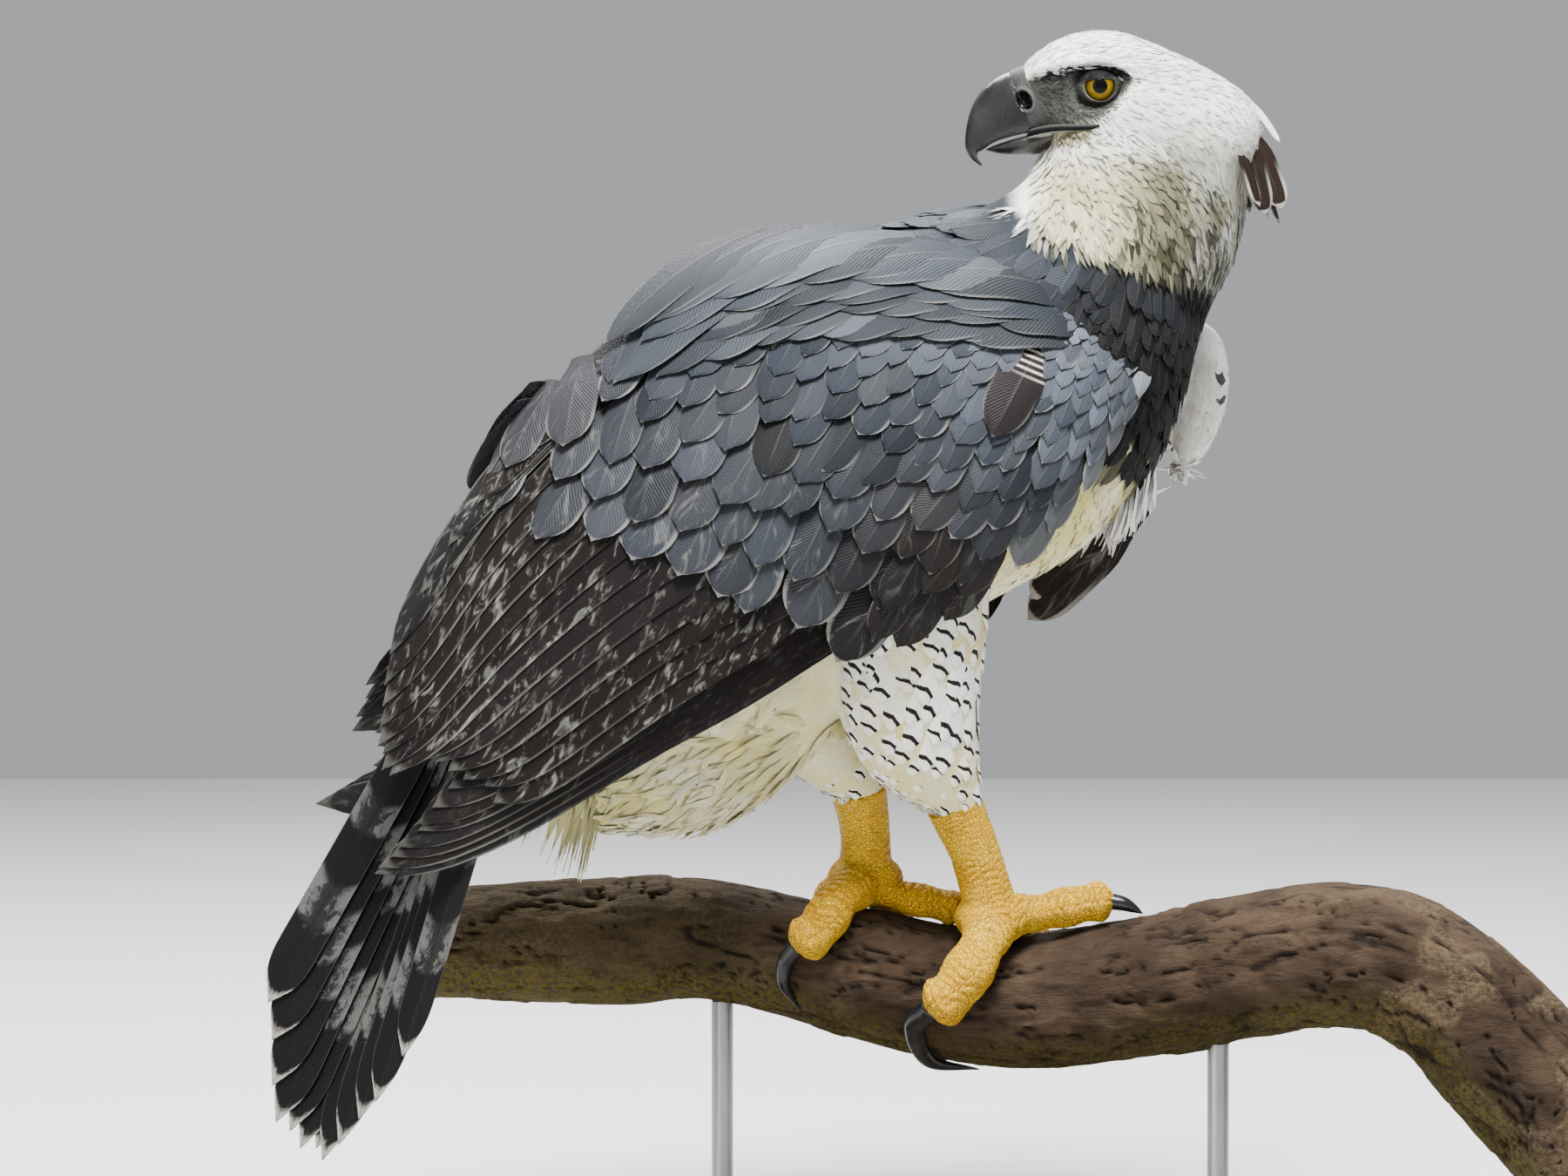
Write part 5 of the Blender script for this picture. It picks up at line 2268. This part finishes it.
class EAGLE_OT_branch(bpy.types.Operator):
    """Shapes the length of branch with its bark, knots, cracks and cut ends"""

    bl_idname = "eagle.branch"
    bl_label = "Branch"

    def execute(self, context):
        colours, sizes = settings()
        count, sides = sizes.bark_rings, sizes.bark_sides
        at = np.linspace(0, 1, count)
        turn = np.linspace(0, 2 * math.pi, sides, endpoint=False)
        middle, near, up, radius = branch_frames(at)
        out = up[:, None] * np.cos(turn)[None, :, None] + near[:, None] * np.sin(turn)[None, :, None]
        lump = 1.3 * np.sin(3 * turn + 9 * at[:, None]) * np.sin(17 * at[:, None] + turn)
        base = middle[:, None] + out * (radius[:, None] + lump * MM)[..., None]
        run = run_along(middle)[:, None]
        wide = radius[:, None]
        flat = np.stack(np.broadcast_arrays(run * 0.22, wide * np.cos(turn), wide * np.sin(turn)), -1)
        ridges = 1 - np.abs(noise3(flat, 140, 1))
        shaken = flat + 0.004 * noise3(flat, 300, 7)[..., None]
        cracks = smooth(1 - np.abs(noise3(shaken, 75, 2)), 0.93, 1.0)
        broad = noise3(base, 18, 3)
        fine = noise3(flat, 460, 5)
        plates = smooth(noise3(base, 34, 9), 0.12, 0.2)
        flakes = smooth(noise3(flat + 0.01, 105, 14), 0.0, 0.12)
        height = 1.2 * broad + 1.2 * (ridges - 0.5) + 0.6 * fine + 1.2 * plates + 0.9 * flakes
        crease = np.exp(-((run - run[-1] * 0.62 + 0.004 * np.sin(3 * turn)) / 0.0035) ** 2)
        height = height - 2.8 * cracks - 2.1 - 1.6 * crease
        along = at[:, None]
        height = height * smooth(np.minimum(along, 1 - along), 0.0, 0.004)
        rings = base + out * (np.minimum(height, 0.9) * MM)[..., None]
        caps = []
        for end, step in ((0, -1), (-1, 1)):
            centre = rings[end].mean(0)
            way = unit(middle[end] - middle[end - step])
            shares = np.array(CUT_SHARES[::step])[:, None, None]
            dome = 0.0012 * (1 - shares) + 0.0004 * np.sin(9 * turn[:, None] + 7 * shares)
            caps.append(centre + (rings[end] - centre) * shares + way * dome)
        obj = ring_solid("branch", np.concatenate((caps[0], rings, caps[1])))
        under = smooth(-np.cos(turn) + 0.35 * broad, 0.1, 0.8)
        peel = plates * smooth(along, 0.55, 0.75)
        peel = peel + smooth(-along, -0.3, -0.1) * smooth(broad, -0.3, 0.4) * 0.7
        barked = np.stack((cracks, under, 0 * peel, peel), -1).reshape(-1, 4)
        cut = np.tile((0, 0, 1, 0), (len(CUT_SHARES) * sides, 1))
        store(obj, "marks", np.concatenate((cut, barked, cut, cut[:2])))
        soft_shade(obj, 60)
        settle(obj, bark_paint("bark", colours), "bark", "perch_branch")
        return {"FINISHED"}


# The collar at a rod's foot: its height, the slope above it, and its width against the rod's
COLLAR = {"tall": 0.008, "step": 0.0012, "wider": 1.7}


class EAGLE_OT_stand(bpy.types.Operator):
    """Makes the plain display stand: a bevelled board and two rods with collars"""

    bl_idname = "eagle.stand"
    bl_label = "Stand"

    def execute(self, context):
        colours, _ = settings()
        low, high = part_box("stand_base")
        middle, span = (Vector(low) + Vector(high)) / 2, Vector(high) - Vector(low)
        fresh_selection()
        bpy.ops.mesh.primitive_cube_add(size=1, location=middle, scale=span)
        board = own("stand_board")
        with reshaped(board) as shape:
            upright = [e for e in shape.edges if abs(e.verts[0].co.z - e.verts[1].co.z) > span.z / 2]
            bmesh.ops.bevel(shape, geom=upright, offset=0.026, segments=10, profile=0.5, affect="EDGES")
        modify(board, "BEVEL", width=0.0025, segments=4, limit_method="ANGLE", angle_limit=math.radians(50))
        soft_shade(board, 40)
        settle(board, wood_paint("stand_wood", colours), "stand_wood", "stand_base")
        steel = steel_paint("stand_steel")
        for n in (1, 2):
            low, high = (Vector(corner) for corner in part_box(f"stand_rod_{n}"))
            middle = (low + high) / 2
            fresh_selection()
            bpy.ops.mesh.primitive_cylinder_add(
                vertices=64, radius=(high.x - low.x) / 2, depth=high.z - low.z, location=middle,
                end_fill_type="NGON",
            )
            rod = own(f"stand_rod_{n}_steel")
            collar_top = low.z + COLLAR["tall"]
            with reshaped(rod) as shape:
                for height in (collar_top, collar_top + COLLAR["step"]):
                    geometry = [*shape.verts, *shape.edges, *shape.faces]
                    bmesh.ops.bisect_plane(shape, geom=geometry, plane_co=(0, 0, height), plane_no=(0, 0, 1))
                for vert in shape.verts:
                    if vert.co.z < collar_top + 1e-5:
                        vert.co.x = middle.x + (vert.co.x - middle.x) * COLLAR["wider"]
                        vert.co.y = middle.y + (vert.co.y - middle.y) * COLLAR["wider"]
            modify(rod, "BEVEL", width=0.0008, segments=3, limit_method="ANGLE", angle_limit=math.radians(40))
            soft_shade(rod, 40)
            settle(rod, steel, "stand_steel", f"stand_rod_{n}")
        return {"FINISHED"}


# Lamps of the studio: name, place, width in metres and power; then the place that they light
LIGHTS = [
    ("key", (0.1, -1.3, 3.1), 1.1, 430), ("fill", (-2.3, -2.0, 1.3), 2.2, 26),
    ("back", (-0.7, 1.5, 2.9), 1.4, 260),
]
LIT = (-0.02, 0, 0.5)
# Where the camera stands, what it looks at and its lens in millimetres
VIEWPOINT = (-0.110, -3.99756, 0.5576)
SEEN = (-0.110, 0, 0.418)
LENS = 142.86


class EAGLE_OT_studio(bpy.types.Operator):
    """Sets the pale floor, the soft lights and the camera"""

    bl_idname = "eagle.studio"
    bl_label = "Studio"

    def execute(self, context):
        _, sizes = settings()
        fresh_selection()
        bpy.ops.mesh.primitive_grid_add(
            x_subdivisions=8, y_subdivisions=8, size=sizes.floor, location=(0, 0, -0.0005),
        )
        floor = bpy.context.active_object
        floor.name = "floor"
        floor.data.materials.append(floor_paint("floor"))
        world = bpy.data.worlds.new("studio")
        bpy.context.scene.world = world
        world.use_nodes = True
        sky = world.node_tree.nodes["Background"].inputs
        sky["Color"].default_value = (0.86, 0.88, 0.9, 1)
        sky["Strength"].default_value = 0.5
        for name, place, wide, power in LIGHTS:
            light = bpy.data.lights.new(name, "AREA")
            light.size, light.energy = wide, power
            self.aimed(name, light, place, LIT)
        view = bpy.data.cameras.new("camera")
        view.lens, view.sensor_width = LENS, 36
        view.clip_start, view.clip_end = 0.1, 60
        context.scene.camera = self.aimed("camera", view, VIEWPOINT, SEEN)
        return {"FINISHED"}

    def aimed(self, name, data, place, target):
        """An object of the scene that looks from one place at another."""
        obj = bpy.data.objects.new(name, data)
        obj.location = place
        obj.rotation_euler = (Vector(target) - obj.location).to_track_quat("-Z", "Y").to_euler()
        bpy.context.scene.collection.objects.link(obj)
        return obj


STEPS = [
    EAGLE_OT_skin, EAGLE_OT_body_coat, EAGLE_OT_head_coat, EAGLE_OT_wings, EAGLE_OT_tail, EAGLE_OT_bill,
    EAGLE_OT_eyes, EAGLE_OT_feet, EAGLE_OT_branch, EAGLE_OT_stand, EAGLE_OT_studio,
]


class EAGLE_PT_panel(bpy.types.Panel):
    """Lists the steps and the settings in the sidebar"""

    bl_idname = "EAGLE_PT_panel"
    bl_label = "Eagle"
    bl_space_type = "VIEW_3D"
    bl_region_type = "UI"
    bl_category = "Eagle"

    def draw(self, context):
        for group in (context.scene.eagle_sizes, context.scene.eagle_colours):
            box = self.layout.box()
            for name in group.__annotations__:
                box.prop(group, name)
        for step in STEPS:
            self.layout.operator(step.bl_idname)


CLASSES = [EagleColours, EagleSizes, *STEPS, EAGLE_PT_panel]


def register():
    for cls in CLASSES:
        bpy.utils.register_class(cls)
    bpy.types.Scene.eagle_colours = PointerProperty(type=EagleColours)
    bpy.types.Scene.eagle_sizes = PointerProperty(type=EagleSizes)


def unregister():
    del bpy.types.Scene.eagle_sizes
    del bpy.types.Scene.eagle_colours
    for cls in reversed(CLASSES):
        bpy.utils.unregister_class(cls)


def main():
    register()
    for step in STEPS:
        family, name = step.bl_idname.split(".")
        getattr(getattr(bpy.ops, family), name)()


if __name__ == "__main__":
    main()
